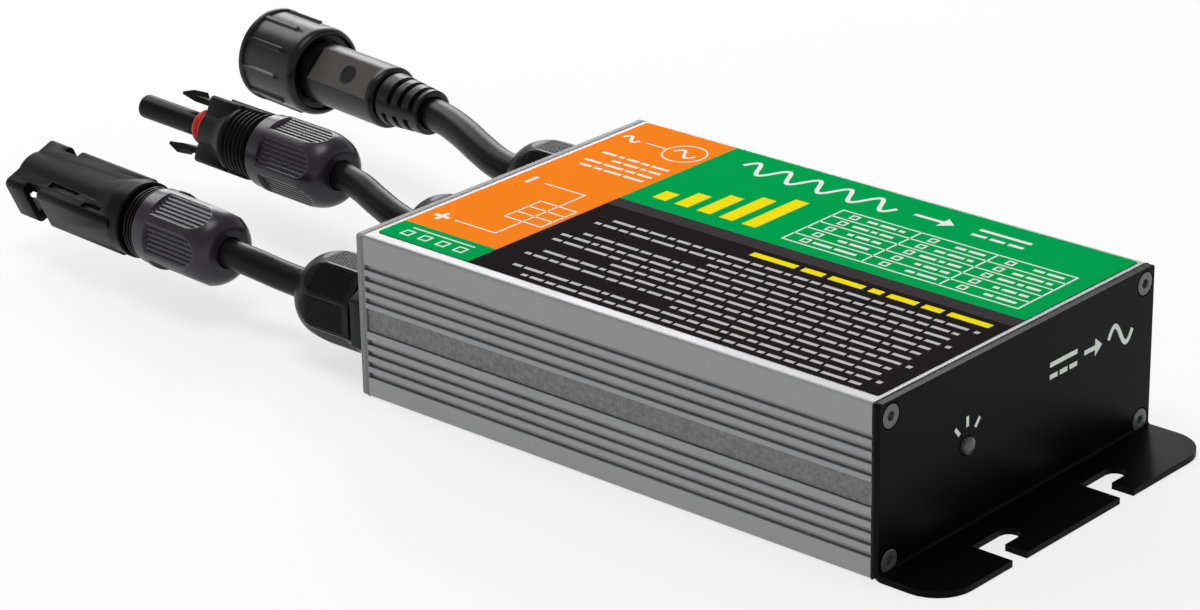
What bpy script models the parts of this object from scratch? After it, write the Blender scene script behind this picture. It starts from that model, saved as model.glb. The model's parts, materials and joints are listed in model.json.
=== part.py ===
"""Micro inverter: a split aluminium housing with bent end plates and three glanded leads.

Metres, +Z up. The origin is the middle of the housing's underside. +X is the status panel and its
mounting flange, and the three leads leave towards -X.
"""

import math

import bmesh
import bpy
from mathutils import Matrix, Vector

MM = 0.001
FULL_TURN = 2 * math.pi
RIGHT_ANGLE = 90.0
FIT = 0.3 * MM  # gap between pieces that touch

# Housing: two equal extruded halves, one turned over on the other
LENGTH = 148 * MM  # over both end plates
WIDTH = 97 * MM
HEIGHT = 39.4 * MM
WALL = 2.0 * MM
CORNER_RADIUS = 0.8 * MM
SEAM_HEIGHT = 16.2 * MM  # top of a half's short leg
LAP = 1.6 * MM  # how far a tall leg's tongue reaches behind the short leg
TONGUE = 0.8 * MM
SEAM_GAP = 0.1 * MM
GROOVE_COUNT = 4
GROOVE_PITCH = 2.7 * MM
GROOVE_WIDTH = 1.3 * MM
GROOVE_FLOOR = 0.85 * MM
GROOVE_DEPTH = 0.9 * MM
SHORT_LEG_GROOVE = 5.45 * MM  # height of the lowest groove
TALL_LEG_GROOVE = 7.6 * MM
BAND_HEIGHT = 5.6 * MM  # plain recessed band under the end of the tall leg
BAND_DEPTH = 0.5 * MM

# End plates, gaskets and their screws
SHEET = 1.5 * MM
GASKET = 0.5 * MM
GASKET_INSET = 0.1 * MM
GASKET_GAP = 0.05 * MM
BEND_RADIUS = 0.6 * MM
SCREW_DIAMETER = 3.0 * MM
SCREW_LENGTH = 8.0 * MM
HEAD_DIAMETER = 5.3 * MM
HEAD_MARGIN = 0.85 * MM  # plate left outside a screw head
SOCKET_SIZE = 2.0 * MM
SOCKET_DEPTH = 0.9 * MM
BOSS_WALL = 1.1 * MM
BOSS_SLIT = 1.4 * MM
SLIT_DIRECTION = 45.0  # towards the middle of the case

# Mounting flange
FLANGE_DEPTH = 16.8 * MM
FLANGE_RADIUS = 9.0 * MM
SLOT_WIDTH = 4.8 * MM
SLOT_NECK = 5.0 * MM
SLOT_RUN = 12.3 * MM  # from the neck's side wall to the round end
SLOT_SET_BACK = 10.4 * MM  # from the flange's edge to the slot's inner wall
SLOT_PITCH = 38.5 * MM

# Status lamp and top label
LAMP_DIAMETER = 4.0 * MM
LAMP_OFFSET = -19.0 * MM
LAMP_HEIGHT = 20.2 * MM
LAMP_DOME = 1.4 * MM
LAMP_FLANGE = 0.8 * MM
LABEL_LENGTH = 141.4 * MM
LABEL_WIDTH = 92.0 * MM
LABEL_SHIFT = 1.0 * MM  # towards the far side
LABEL_THICKNESS = 0.15 * MM
LABEL_GAP = 0.05 * MM
LABEL_RADIUS = 0.8 * MM

# Circuit board and what stands on it
BOARD_THICKNESS = 1.6 * MM
BOARD_END_ROOM = 12.0 * MM
RAIL_DEPTH = 2.0 * MM
RAIL_THICKNESS = 1.4 * MM
RAIL_GAP = 0.5 * MM  # between a screw boss and the rail over it
HEADROOM = 2.0 * MM
TRANSFORMER_LENGTH = 28.0 * MM
TRANSFORMER_WIDTH = 24.0 * MM
TRANSFORMER_BOBBIN = 2.2 * MM  # how far the winding stands out of the core
CAPACITOR_DIAMETER = 16.0 * MM
CHOKE_DIAMETER = 24.0 * MM
CHOKE_HEIGHT = 11.0 * MM
RELAY_SIZE = (19.0 * MM, 15.5 * MM, 15.5 * MM)
HEAT_BAR = (84.0 * MM, 6.0 * MM, 15.0 * MM)
PART_SPACING = 4.0 * MM

# Cable glands
GLAND_THREAD = 14.4 * MM
GLAND_HEX = 20.0 * MM
GLAND_HEX_THICKNESS = 7.0 * MM
GLAND_NECK = 8.5 * MM
GLAND_NUT_SIZE = 20.2 * MM
GLAND_NUT_LENGTH = 21.0 * MM
GLAND_SEAL_WALL = 1.2 * MM
GLAND_DROP = 1.9 * MM  # of the middle gland, below the middle of the plate
GLAND_RISE = 3.4 * MM  # from one gland to the next, towards the far side
GLAND_SHIFT = 1.0 * MM  # of the row, towards the far side
GLAND_SIDE_ROOM = 0.5 * MM
LOCKNUT_SIZE = 18.0 * MM
LOCKNUT_THICKNESS = 4.0 * MM
THREAD_STAND_OUT = 1.0 * MM

# Leads. A route starts in the middle of its gland on the plate's outer face and ends where the
# connector starts. Its points are millimetres out of the plate, sideways and up.
DC_CABLE = 7.3 * MM
AC_CABLE = 8.2 * MM
POSITIVE_ROUTE = (
    (-0.4, 0.0, 0.0), (10.0, 0.0, 0.0), (20.0, 0.0, 0.0), (30.0, -0.1, 0.1), (38.0, -1.0, 0.9),
    (46.0, -2.1, 2.2), (54.5, -2.6, 3.0),
)
NEGATIVE_ROUTE = (
    (-0.4, 0.0, 0.0), (10.0, 0.0, 0.0), (20.0, 0.0, 0.0), (30.0, 0.1, 0.1), (38.0, 1.0, 0.9),
    (46.0, 2.8, 2.2), (54.0, 4.9, 3.6), (62.0, 6.1, 4.3),
)
AC_ROUTE = (
    (-0.4, 0.0, 0.0), (10.0, 0.0, 0.0), (20.0, 0.0, 0.0), (30.0, 0.1, 0.1), (38.0, 1.3, 0.6),
    (46.0, 3.6, 1.7), (54.0, 6.4, 2.9), (62.0, 9.0, 3.7), (70.0, 10.9, 4.0),
)
POSITIVE_HEADING = (-1.0, 0.06, 0.0)
NEGATIVE_HEADING = (-1.0, 0.056, 0.0)
AC_HEADING = (-1.0, 0.115, 0.0)
CABLE_STEP = 5.0 * MM

# Round panel-lead connectors: lengths run from the cable's exit towards the mating face
DC_NUT_DIAMETER = 19.5 * MM
DC_NUT_LENGTH = 26.0 * MM
DC_NUT_PANELS = 6
DC_NUT_STEPS = 6  # points round a panel and its land
DC_NUT_FLAT = 18.0 * MM  # across two opposite grip panels
DC_NUT_RIB_DEPTH = 0.35 * MM
DC_THREAD = 15.4 * MM
DC_THREAD_START = 13.3 * MM
DC_SEAL_WALL = 1.55 * MM
DC_SEAL_LENGTH = 11.0 * MM
DC_JACKET_END = 33.0 * MM
CONTACT_BARREL = 4.6 * MM
CONTACT_ROOM = 0.4 * MM

SHELL_COLLAR_START = 29.0 * MM
SHELL_COLLAR = 19.2 * MM
SHELL_COLLAR_LENGTH = 6.0 * MM
SHELL_FRONT = 75.0 * MM
SHELL_WIDTH = 17.6 * MM  # over the two ears
SHELL_EAR_THICKNESS = 11.8 * MM
SHELL_BODY = 13.6 * MM
SHELL_CHAMFER = 1.6 * MM
SHELL_MOUTH = 10.2 * MM
ARM_SLOT_SPAN = 14.8 * MM  # over the two slots that the mating latch arms enter
ARM_SLOT_WIDTH = 5.8 * MM
SHELL_MOUTH_DEPTH = 23.0 * MM
SHELL_ROLL = 156.0
WINDOW_SET_BACK = 7.2 * MM
WINDOW_LENGTH = 4.2 * MM
WINDOW_DEPTH = 2.5 * MM
PIN_DIAMETER = 3.6 * MM
PIN_SET_BACK = 6.5 * MM

NOSE_BODY_START = 28.0 * MM
NOSE_BODY_LENGTH = 20.5 * MM
NOSE_BODY_WIDTH = 17.4 * MM
NOSE_BODY_THICKNESS = 8.8 * MM
NOSE_BODY_ROUND = 11.4 * MM
NOSE_BODY_CHAMFER = 1.2 * MM
NOSE_COLLAR = 17.6 * MM
NOSE_COLLAR_LENGTH = 9.5 * MM
NOSE_FRONT = 76.0 * MM
NOSE_DIAMETER = 6.2 * MM
NOSE_BORE = 3.8 * MM
NOSE_ROLL = 114.0
NOSE_SEAL_LENGTH = 4.2 * MM
NOSE_SEAL_SEAT = 5.2 * MM
NOSE_SEAL_WALL = 1.95 * MM
LATCH_LENGTH = 18.0 * MM
LATCH_ROOT = 5.2 * MM  # length of the root inside the body
LATCH_WIDTH = 5.0 * MM
LATCH_THICKNESS = 1.5 * MM
LATCH_OFFSET = 6.25 * MM
LATCH_ROOM = 0.9 * MM  # free travel under the root
LATCH_BARB = 1.3 * MM

# Locking connector on the mains lead
RELIEF_LENGTH = 16.0 * MM
RELIEF_END = 11.6 * MM
RELIEF_ROOT = 14.0 * MM
RELIEF_SLOTS = 3
RELIEF_SLOT_WIDTH = 1.7 * MM
RELIEF_SLOT_DEPTH = 1.0 * MM
RELIEF_BRIDGE = 0.9  # a slot stops where the cosine of its angle passes this
PLUG_BODY = 16.2 * MM
PLUG_BODY_LENGTH = 28.0 * MM
PLUG_FLAT = 13.2 * MM  # twice the distance from the axis to the flat
PLUG_FLAT_ANGLE = 43.0
PLUG_COLLAR = 20.6 * MM
PLUG_COLLAR_LENGTH = 2.0 * MM
PLUG_CUP_LENGTH = 10.0 * MM
PLUG_CUP_WALL = 1.2 * MM
RING_DIAMETER = 25.0 * MM
RING_LENGTH = 22.0 * MM
RING_LIP = 2.2 * MM
RING_WALL = 1.2 * MM
RING_RIBS = 10
RING_RIB_HEIGHT = 0.7 * MM
RING_RIB_ANGLE = 7.0
RING_SMOOTH = 6.0 * MM  # plain length behind the ribs
RING_BEAD = 1.8 * MM
INSERT_LENGTH = 8.0 * MM
PLUG_PIN = 1.9 * MM
PLUG_PIN_CIRCLE = 6.4 * MM
PLUG_PIN_REACH = 1.2 * MM
FACE_SEAL = 1.2 * MM

# Places worked out from the sizes above
PLATE_INNER = LENGTH / 2 - SHEET
SHELL_END = PLATE_INNER - 2 * GASKET_GAP - GASKET
SCREW_INSET = HEAD_DIAMETER / 2 + HEAD_MARGIN
BORE_RADIUS = SCREW_DIAMETER / 2 + FIT
BOSS_REACH = BORE_RADIUS + BOSS_WALL
BOARD_LEVEL = SCREW_INSET + BOSS_REACH + RAIL_GAP + RAIL_THICKNESS + FIT
PARTS_LEVEL = BOARD_LEVEL + BOARD_THICKNESS + FIT
PARTS_ROOM = HEIGHT - WALL - HEADROOM - PARTS_LEVEL
GLAND_PITCH = WIDTH / 2 - WALL - LOCKNUT_SIZE / 2 - GLAND_SIDE_ROOM - GLAND_SHIFT
GLAND_PLACES = {
    lead: (GLAND_SHIFT + index * GLAND_PITCH, HEIGHT / 2 - GLAND_DROP + index * GLAND_RISE)
    for lead, index in (("dc_positive", -1), ("dc_negative", 0), ("ac", 1))
}
SCREW_PLACES = [
    (side * (WIDTH / 2 - SCREW_INSET), height)
    for height in (SCREW_INSET, HEIGHT - SCREW_INSET)
    for side in (-1, 1)
]



# Colours, roughness and metallic value of each finish
FINISHES = {
    "aluminium": ((0.55, 0.55, 0.56), 0.38, 1.0),
    "black_sheet": ((0.012, 0.012, 0.013), 0.35, 0.0),
    "grey_sheet": ((0.2, 0.2, 0.205), 0.45, 0.0),
    "screw_steel": ((0.35, 0.35, 0.36), 0.35, 1.0),
    "rubber": ((0.015, 0.015, 0.016), 0.8, 0.0),
    "label_film": ((0.02, 0.37, 0.09), 0.3, 0.0),
    "lamp_lens": ((0.22, 0.23, 0.24), 0.2, 0.0),
    "gland_nylon": ((0.01, 0.01, 0.011), 0.4, 0.0),
    "cable_jacket": ((0.014, 0.014, 0.015), 0.45, 0.0),
    "connector_plastic": ((0.016, 0.016, 0.017), 0.4, 0.0),
    "nut_plastic": ((0.045, 0.04, 0.048), 0.5, 0.0),
    "red_rubber": ((0.6, 0.03, 0.02), 0.45, 0.0),
    "contact_metal": ((0.75, 0.7, 0.62), 0.25, 1.0),
    "board_laminate": ((0.01, 0.12, 0.05), 0.5, 0.0),
    "ferrite": ((0.05, 0.05, 0.055), 0.7, 0.0),
    "capacitor_sleeve": ((0.02, 0.03, 0.09), 0.4, 0.0),
    "choke_winding": ((0.45, 0.16, 0.05), 0.35, 0.6),
    "relay_case": ((0.03, 0.06, 0.25), 0.45, 0.0),
}


def finish_material(name):
    """The Principled material of a finish, made once."""
    if name in bpy.data.materials:
        return bpy.data.materials[name]
    colour, roughness, metallic = FINISHES[name]
    material = bpy.data.materials.new(name)
    material.use_nodes = True
    shader = material.node_tree.nodes["Principled BSDF"]
    shader.inputs["Base Color"].default_value = (*colour, 1.0)
    shader.inputs["Roughness"].default_value = roughness
    shader.inputs["Metallic"].default_value = metallic
    return material


def add_object(name, bm, finish=None, parent=None, location=(0, 0, 0)):
    """Turn a bmesh into an object. Without a finish it is a hidden cutter."""
    bmesh.ops.recalc_face_normals(bm, faces=bm.faces[:])
    mesh = bpy.data.meshes.new(name)
    bm.to_mesh(mesh)
    bm.free()
    mesh.shade_smooth()
    mesh.set_sharp_from_angle(angle=math.radians(32))
    return add_copy(name, mesh, finish, parent, location)


def add_copy(name, mesh, finish=None, parent=None, location=(0, 0, 0)):
    """An object on a mesh that may be shared."""
    obj = bpy.data.objects.new(name, mesh)
    obj.parent = parent
    obj.location = location
    bpy.context.collection.objects.link(obj)
    if finish:
        mesh.materials.clear()
        mesh.materials.append(finish_material(finish))
    else:
        obj.hide_render = True
        obj.display_type = "WIRE"
    return obj


def add_frame(name, location, heading, roll=0.0, parent=None):
    """An empty whose +Z runs along the heading, with +Y up before the roll."""
    along = Vector(heading).normalized()
    across = Vector((0, 0, 1)).cross(along).normalized()
    upward = along.cross(across)
    turn = Matrix((across, upward, along)).transposed() @ Matrix.Rotation(math.radians(roll), 3, "Z")
    frame = bpy.data.objects.new(name, None)
    frame.matrix_world = Matrix.Translation(location) @ turn.to_4x4()
    frame.parent = parent
    bpy.context.collection.objects.link(frame)
    return frame


def cut(obj, cutter):
    """Subtract a hidden cutter from an object."""
    modifier = obj.modifiers.new(cutter.name, "BOOLEAN")
    modifier.operation = "DIFFERENCE"
    modifier.solver = "EXACT"
    modifier.object = cutter


def even_angles(count):
    return [FULL_TURN * step / count for step in range(count)]


def flats(size, count):
    """Radius of a regular polygon by angle, with the middle of a flat at angle zero."""
    sector = FULL_TURN / count
    return lambda angle: size / 2 / math.cos((angle + sector / 2) % sector - sector / 2)


def eared(width, thickness, diameter, chamfer):
    """Radius of a round body with a flat ear on either side, by angle."""
    corner = (width + thickness) / 2 - chamfer

    def radius(angle):
        across = max(abs(math.cos(angle)), 1e-9)
        upward = max(abs(math.sin(angle)), 1e-9)
        ear = min(width / 2 / across, thickness / 2 / upward, corner / (across + upward))
        return max(ear, diameter / 2)

    return radius


def eared_angles(width, thickness, diameter, chamfer):
    """The angles at which an eared body's outline turns, with its round parts in steps."""
    side = math.atan2(thickness / 2 - chamfer, width / 2)
    top = math.atan2(thickness / 2, width / 2 - chamfer)
    root = math.asin(thickness / diameter)
    steps = 4
    half = [0.0, side, top]
    half += [root + (math.pi - 2 * root) * step / steps for step in range(steps + 1)]
    half += [math.pi - top, math.pi - side]
    return half + [angle + math.pi for angle in half]


def add_ring(bm, height, radius, angles, centre=(0, 0)):
    """A loop of points round the Z axis. The radius is a number or a function of the angle."""
    reach = radius if callable(radius) else lambda angle: radius
    return [
        bm.verts.new(
            (
                centre[0] + reach(angle) * math.cos(angle),
                centre[1] + reach(angle) * math.sin(angle),
                height,
            )
        )
        for angle in angles
    ]


def add_turned(bm, sections, angles, hollow=False, centre=(0, 0)):
    """Loft rings through (height, radius) sections. A hollow one closes its last ring on its first."""
    rings = [add_ring(bm, height, radius, angles, centre) for height, radius in sections]
    pairs = list(zip(rings, rings[1:]))
    if hollow:
        pairs.append((rings[-1], rings[0]))
    else:
        bm.faces.new(rings[0])
        bm.faces.new(rings[-1])
    for lower, upper in pairs:
        for index, point in enumerate(lower):
            before = index - 1
            bm.faces.new((lower[before], point, upper[index], upper[before]))


def turned(sections, angles, hollow=False):
    bm = bmesh.new()
    add_turned(bm, sections, angles, hollow)
    return bm


def add_prism(bm, points, way):
    """Extrude a flat outline of points by a vector."""
    face = bm.faces.new([bm.verts.new(point) for point in points])
    grown = bmesh.ops.extrude_face_region(bm, geom=[face])
    moved = [item for item in grown["geom"] if isinstance(item, bmesh.types.BMVert)]
    bmesh.ops.translate(bm, verts=moved, vec=way)


def prism_along_x(bm, outline, low, high):
    """An outline of (y, z) points between two places along X."""
    add_prism(bm, [(low, y, z) for y, z in outline], (high - low, 0, 0))


def prism_along_y(bm, outline, low, high):
    """An outline of (x, z) points between two places along Y."""
    add_prism(bm, [(x, low, z) for x, z in outline], (0, high - low, 0))


def prism_along_z(bm, outline, low, high):
    """An outline of (x, y) points between two heights."""
    add_prism(bm, [(x, y, low) for x, y in outline], (0, 0, high - low))


def add_box(bm, low, high):
    (x0, y0, z0), (x1, y1, z1) = low, high
    prism_along_z(bm, [(x0, y0), (x1, y0), (x1, y1), (x0, y1)], z0, z1)


def arc(centre, radius, start, end, steps):
    """Points on an arc, both ends included, with angles in degrees."""
    return [
        (
            centre[0] + radius * math.cos(math.radians(start + (end - start) * step / steps)),
            centre[1] + radius * math.sin(math.radians(start + (end - start) * step / steps)),
        )
        for step in range(steps + 1)
    ]


def groove(height):
    """One groove of an outer side, upwards, as (depth, height) points."""
    half, floor = GROOVE_WIDTH / 2, GROOVE_FLOOR / 2
    return [
        (0, height - half),
        (GROOVE_DEPTH, height - floor),
        (GROOVE_DEPTH, height + floor),
        (0, height + half),
    ]


def leg_outside(first_groove, end, band):
    """The outer side of a leg from its corner upwards, as (depth, height) points."""
    points = []
    for index in range(GROOVE_COUNT):
        points += groove(first_groove + index * GROOVE_PITCH)
    if band:
        points += [(0, end - BAND_HEIGHT), (BAND_DEPTH, end - BAND_HEIGHT), (BAND_DEPTH, end)]
    else:
        points += [(0, end)]
    return points


def leg_inside(end, tongue):
    """The inner side of a leg from its end down to the floor, as (depth, height) points."""
    lap = WALL - TONGUE
    if tongue:
        points = [(lap, end), (lap, end + LAP), (WALL, end + LAP)]
    else:
        points = [(lap - FIT, end), (lap - FIT, end - LAP - FIT), (WALL, end - LAP - FIT)]
    for low in (BOARD_LEVEL + BOARD_THICKNESS + FIT, BOARD_LEVEL - FIT - RAIL_THICKNESS):
        high = low + RAIL_THICKNESS
        points += [(WALL, high), (WALL + RAIL_DEPTH, high), (WALL + RAIL_DEPTH, low), (WALL, low)]
    edge = SCREW_INSET + BOSS_REACH
    slit = BOSS_SLIT / 2
    half = math.degrees(math.asin(slit / BORE_RADIUS))
    slit_end = SLIT_DIRECTION + math.degrees(FULL_TURN)
    points += [(WALL, edge), (edge - math.sqrt(2) * slit, edge)]
    points += arc((SCREW_INSET, SCREW_INSET), BORE_RADIUS, SLIT_DIRECTION + half, slit_end - half, 10)
    points += [(edge, edge - math.sqrt(2) * slit), (edge, WALL)]
    return points


def shell_outline():
    """Section of one half of the housing as (y, z): short leg at -Y, tall leg at +Y."""
    side = WIDTH / 2
    short_end = SEAM_HEIGHT - SEAM_GAP / 2
    tall_end = HEIGHT - SEAM_HEIGHT - SEAM_GAP / 2
    short_outside = leg_outside(SHORT_LEG_GROOVE, short_end, band=False)
    short_inside = leg_inside(short_end, tongue=False)
    tall_outside = leg_outside(TALL_LEG_GROOVE, tall_end, band=True)
    tall_inside = leg_inside(tall_end, tongue=True)
    round_left = arc((CORNER_RADIUS - side, CORNER_RADIUS), CORNER_RADIUS, 180, 270, 3)
    round_right = arc((side - CORNER_RADIUS, CORNER_RADIUS), CORNER_RADIUS, 270, 360, 3)
    outline = [(depth - side, height) for depth, height in reversed(short_outside)]
    outline += round_left + round_right
    outline += [(side - depth, height) for depth, height in tall_outside]
    outline += [(side - depth, height) for depth, height in tall_inside]
    outline += [(depth - side, height) for depth, height in reversed(short_inside)]
    return outline


def make_shells():
    bm = bmesh.new()
    prism_along_x(bm, shell_outline(), -SHELL_END, SHELL_END)
    lower = add_object("lower_shell", bm, "aluminium")
    upper = add_copy("upper_shell", lower.data, "aluminium", location=(0, 0, HEIGHT))
    upper.rotation_euler = (math.pi, 0, 0)


def add_bore(bm, place, sides, sections):
    """A round cutter along X through a plate, from (place along X, radius) sections."""
    bore = bmesh.new()
    add_turned(bore, sections, even_angles(sides))
    bore.transform(Matrix.Translation((0, *place)) @ Matrix.Rotation(math.pi / 2, 4, "Y"))
    mesh = bpy.data.meshes.new("bore")
    bore.to_mesh(mesh)
    bore.free()
    bm.from_mesh(mesh)
    bpy.data.meshes.remove(mesh)


def screw_bores(bm, outer, through):
    """Countersunk holes for the four screws of a plate whose outer face is at this X."""
    spread = FIT * math.sqrt(2)
    head = HEAD_DIAMETER / 2 + spread
    side = math.copysign(1, outer)
    straight = SCREW_DIAMETER / 2 + FIT
    sections = [
        (outer + side * FIT, head + FIT),
        (outer - side * (head - straight), straight),
        (outer - side * through, straight),
    ]
    for place in SCREW_PLACES:
        add_bore(bm, place, 12, sections)


def hook_outline(start):
    """A hooked slot as (x, y): a neck from the flange's edge, then a run towards +Y."""
    edge = LENGTH / 2 + FLANGE_DEPTH
    inner = edge - SLOT_SET_BACK
    radius = SLOT_WIDTH / 2
    end = start + SLOT_RUN - radius
    outline = [(edge + SLOT_NECK, start), (inner, start)]
    outline += arc((inner + radius, end), radius, 180, 0, 6)
    outline += [(inner + SLOT_WIDTH, start + SLOT_NECK), (edge + SLOT_NECK, start + SLOT_NECK)]
    return outline


def round_corners(bm, along, chosen, radius, steps):
    """Round the edges that run along this direction and have both ends where the test holds."""
    edges = []
    for edge in bm.edges:
        first, last = (vert.co for vert in edge.verts)
        straight = abs((last - first).normalized().dot(along)) > 0.99
        if straight and chosen(first) and chosen(last):
            edges.append(edge)
    bmesh.ops.bevel(
        bm, geom=edges, offset=radius, segments=steps, affect="EDGES", profile=0.5, material=-1
    )


def make_front_plate():
    face, inner = LENGTH / 2, PLATE_INNER
    edge = face + FLANGE_DEPTH
    outer_bend = BEND_RADIUS + SHEET
    profile = [(inner, HEIGHT), (face, HEIGHT)]
    profile += arc((face + BEND_RADIUS, SHEET + BEND_RADIUS), BEND_RADIUS, 180, 270, 3)
    profile += [(edge, SHEET), (edge, 0)]
    profile += arc((inner + outer_bend, outer_bend), outer_bend, 270, 180, 4)
    bm = bmesh.new()
    prism_along_y(bm, profile, -WIDTH / 2, WIDTH / 2)
    tiny = FIT / 10
    round_corners(bm, Vector((1, 0, 0)), lambda at: at.z > HEIGHT - tiny, CORNER_RADIUS, 3)
    round_corners(bm, Vector((0, 0, 1)), lambda at: at.x > edge - tiny, FLANGE_RADIUS, 7)
    plate = add_object("front_plate", bm, "black_sheet")

    bm = bmesh.new()
    start = -(SLOT_PITCH + SLOT_RUN) / 2
    for first in (start, start + SLOT_PITCH):
        prism_along_z(bm, hook_outline(first), -SHEET, 2 * SHEET)
    screw_bores(bm, face, 2 * SHEET)
    hole = LAMP_DIAMETER / 2 + FIT
    add_bore(bm, (LAMP_OFFSET, LAMP_HEIGHT), 20, [(face + SHEET, hole), (inner - SHEET, hole)])
    cut(plate, add_object("front_plate_cuts", bm))


def make_rear_plate():
    face, inner = -LENGTH / 2, -PLATE_INNER
    side = WIDTH / 2
    bm = bmesh.new()
    prism_along_x(bm, [(-side, 0), (side, 0), (side, HEIGHT), (-side, HEIGHT)], face, inner)
    round_corners(bm, Vector((1, 0, 0)), lambda at: True, CORNER_RADIUS, 3)
    plate = add_object("rear_plate", bm, "grey_sheet")

    bm = bmesh.new()
    screw_bores(bm, face, 2 * SHEET)
    hole = GLAND_THREAD / 2 + FIT
    for place in GLAND_PLACES.values():
        sections = [(face - SHEET, hole), (inner + SHEET, hole)]
        add_bore(bm, place, 24, sections)
    cut(plate, add_object("rear_plate_cuts", bm))


def make_gasket(name, facing):
    """A flat frame between a plate and the housing's end. The facing is -1 at the rear."""
    near = facing * (PLATE_INNER - GASKET_GAP - GASKET)
    far = facing * (PLATE_INNER - GASKET_GAP)
    side = WIDTH / 2 - GASKET_INSET
    top = HEIGHT - GASKET_INSET
    bm = bmesh.new()
    outline = [(-side, GASKET_INSET), (side, GASKET_INSET), (side, top), (-side, top)]
    prism_along_x(bm, outline, near, far)
    gasket = add_object(name, bm, "rubber")

    bm = bmesh.new()
    window = WIDTH / 2 - WALL
    strip = SCREW_INSET + BOSS_REACH
    outline = [(-window, strip), (window, strip), (window, HEIGHT - strip), (-window, HEIGHT - strip)]
    prism_along_x(bm, outline, near - facing * GASKET, far + facing * GASKET)
    for place in SCREW_PLACES:
        hole = SCREW_DIAMETER / 2 + 2 * FIT
        sections = [(far + facing * GASKET, hole), (near - facing * GASKET, hole)]
        add_bore(bm, place, 8, sections)
    cut(gasket, add_object(name + "_cuts", bm))
    return gasket


def make_locknut_room(gasket):
    """Round bays in the rear gasket's window for the locknuts."""
    room = LOCKNUT_SIZE / math.sqrt(3) + 2 * FIT
    low, high = -PLATE_INNER, GASKET - SHELL_END
    bm = bmesh.new()
    for place in GLAND_PLACES.values():
        add_bore(bm, place, 16, [(low, room), (high, room)])
    cut(gasket, add_object("locknut_room", bm))


def make_screws():
    """Eight equal countersunk screws. Their heads lie flush with the plates."""
    head, shank = HEAD_DIAMETER / 2, SCREW_DIAMETER / 2
    socket = flats(SOCKET_SIZE, 6)
    sections = [
        (-SOCKET_DEPTH, socket),
        (0, socket),
        (0, head),
        (shank - head, shank),
        (FIT - SCREW_LENGTH, shank),
        (-SCREW_LENGTH, shank - FIT),
    ]
    mesh = None
    for end, facing in (("front", 1), ("rear", -1)):
        for index, (y, z) in enumerate(SCREW_PLACES, start=1):
            name = f"{end}_screw_{index}"
            place = (facing * LENGTH / 2, y, z)
            if mesh is None:
                screw = add_object(name, turned(sections, even_angles(12)), "screw_steel")
                mesh = screw.data
            else:
                screw = add_copy(name, mesh, "screw_steel")
            screw.location = place
            screw.rotation_euler = (0, facing * math.pi / 2, 0)


def make_lamp():
    lens = LAMP_DIAMETER / 2
    back = -(SHEET + FIT + LAMP_FLANGE)
    sections = [
        (back, lens + LAMP_FLANGE),
        (-(SHEET + FIT), lens + LAMP_FLANGE),
        (-(SHEET + FIT), lens),
        (LAMP_DOME / 3, lens),
        (LAMP_DOME * 0.75, lens * 0.75),
        (LAMP_DOME, lens * 0.3),
    ]
    lamp = add_object("status_led", turned(sections, even_angles(16)), "lamp_lens")
    lamp.location = (LENGTH / 2, LAMP_OFFSET, LAMP_HEIGHT)
    lamp.rotation_euler = (0, math.pi / 2, 0)


def make_label():
    half, side = LABEL_LENGTH / 2, LABEL_WIDTH / 2
    inset_x, inset_y = half - LABEL_RADIUS, side - LABEL_RADIUS
    outline = []
    for quarter, (x, y) in enumerate(((1, 1), (-1, 1), (-1, -1), (1, -1))):
        centre = (x * inset_x, y * inset_y + LABEL_SHIFT)
        outline += arc(centre, LABEL_RADIUS, RIGHT_ANGLE * quarter, RIGHT_ANGLE * (quarter + 1), 3)
    bm = bmesh.new()
    low = HEIGHT + LABEL_GAP
    prism_along_z(bm, outline, low, low + LABEL_THICKNESS)
    add_object("top_label", bm, "label_film")


def make_board():
    """The circuit board in its rails, and the large parts that stand on it."""
    half = SHELL_END - BOARD_END_ROOM
    side = WIDTH / 2 - WALL - FIT
    bm = bmesh.new()
    add_box(bm, (-half, -side, BOARD_LEVEL), (half, side, BOARD_LEVEL + BOARD_THICKNESS))
    add_object("main_board", bm, "board_laminate")

    cap = CAPACITOR_DIAMETER / 2
    cap_x = -half + PART_SPACING + cap
    core_x = cap_x + cap + PART_SPACING + TRANSFORMER_LENGTH / 2
    choke_x = core_x + TRANSFORMER_LENGTH / 2 + PART_SPACING + CHOKE_DIAMETER / 2
    relay_x = choke_x + CHOKE_DIAMETER / 2 + PART_SPACING
    for index, facing in enumerate((-1, 1), start=1):
        make_capacitor(f"bulk_capacitor_{index}", (cap_x, facing * (cap + PART_SPACING / 2)))
        gap = facing * (TRANSFORMER_WIDTH + PART_SPACING) / 2
        make_transformer(f"flyback_transformer_{index}", (core_x, gap))
    make_choke((choke_x, 0))
    make_relay(relay_x)
    make_heat_bar()


def make_capacitor(name, place):
    radius = CAPACITOR_DIAMETER / 2
    top = PARTS_ROOM
    sections = [(0, radius), (top - FIT, radius), (top, radius - FIT)]
    bm = turned(sections, even_angles(16))
    add_object(name, bm, "capacitor_sleeve", location=(*place, PARTS_LEVEL))


def make_transformer(name, place):
    """A ferrite core with its bobbin standing out at both ends."""
    core = TRANSFORMER_LENGTH / 2 - TRANSFORMER_BOBBIN
    side = TRANSFORMER_WIDTH / 2
    height = PARTS_ROOM - HEADROOM
    leg = side / 3
    outline = [
        (-core, -side), (core, -side), (core, -leg * 2), (core + TRANSFORMER_BOBBIN, -leg * 2),
        (core + TRANSFORMER_BOBBIN, leg * 2), (core, leg * 2), (core, side), (-core, side),
        (-core, leg * 2), (-core - TRANSFORMER_BOBBIN, leg * 2),
        (-core - TRANSFORMER_BOBBIN, -leg * 2), (-core, -leg * 2),
    ]
    bm = bmesh.new()
    prism_along_z(bm, outline, 0, height)
    add_object(name, bm, "ferrite", location=(*place, PARTS_LEVEL))


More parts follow.
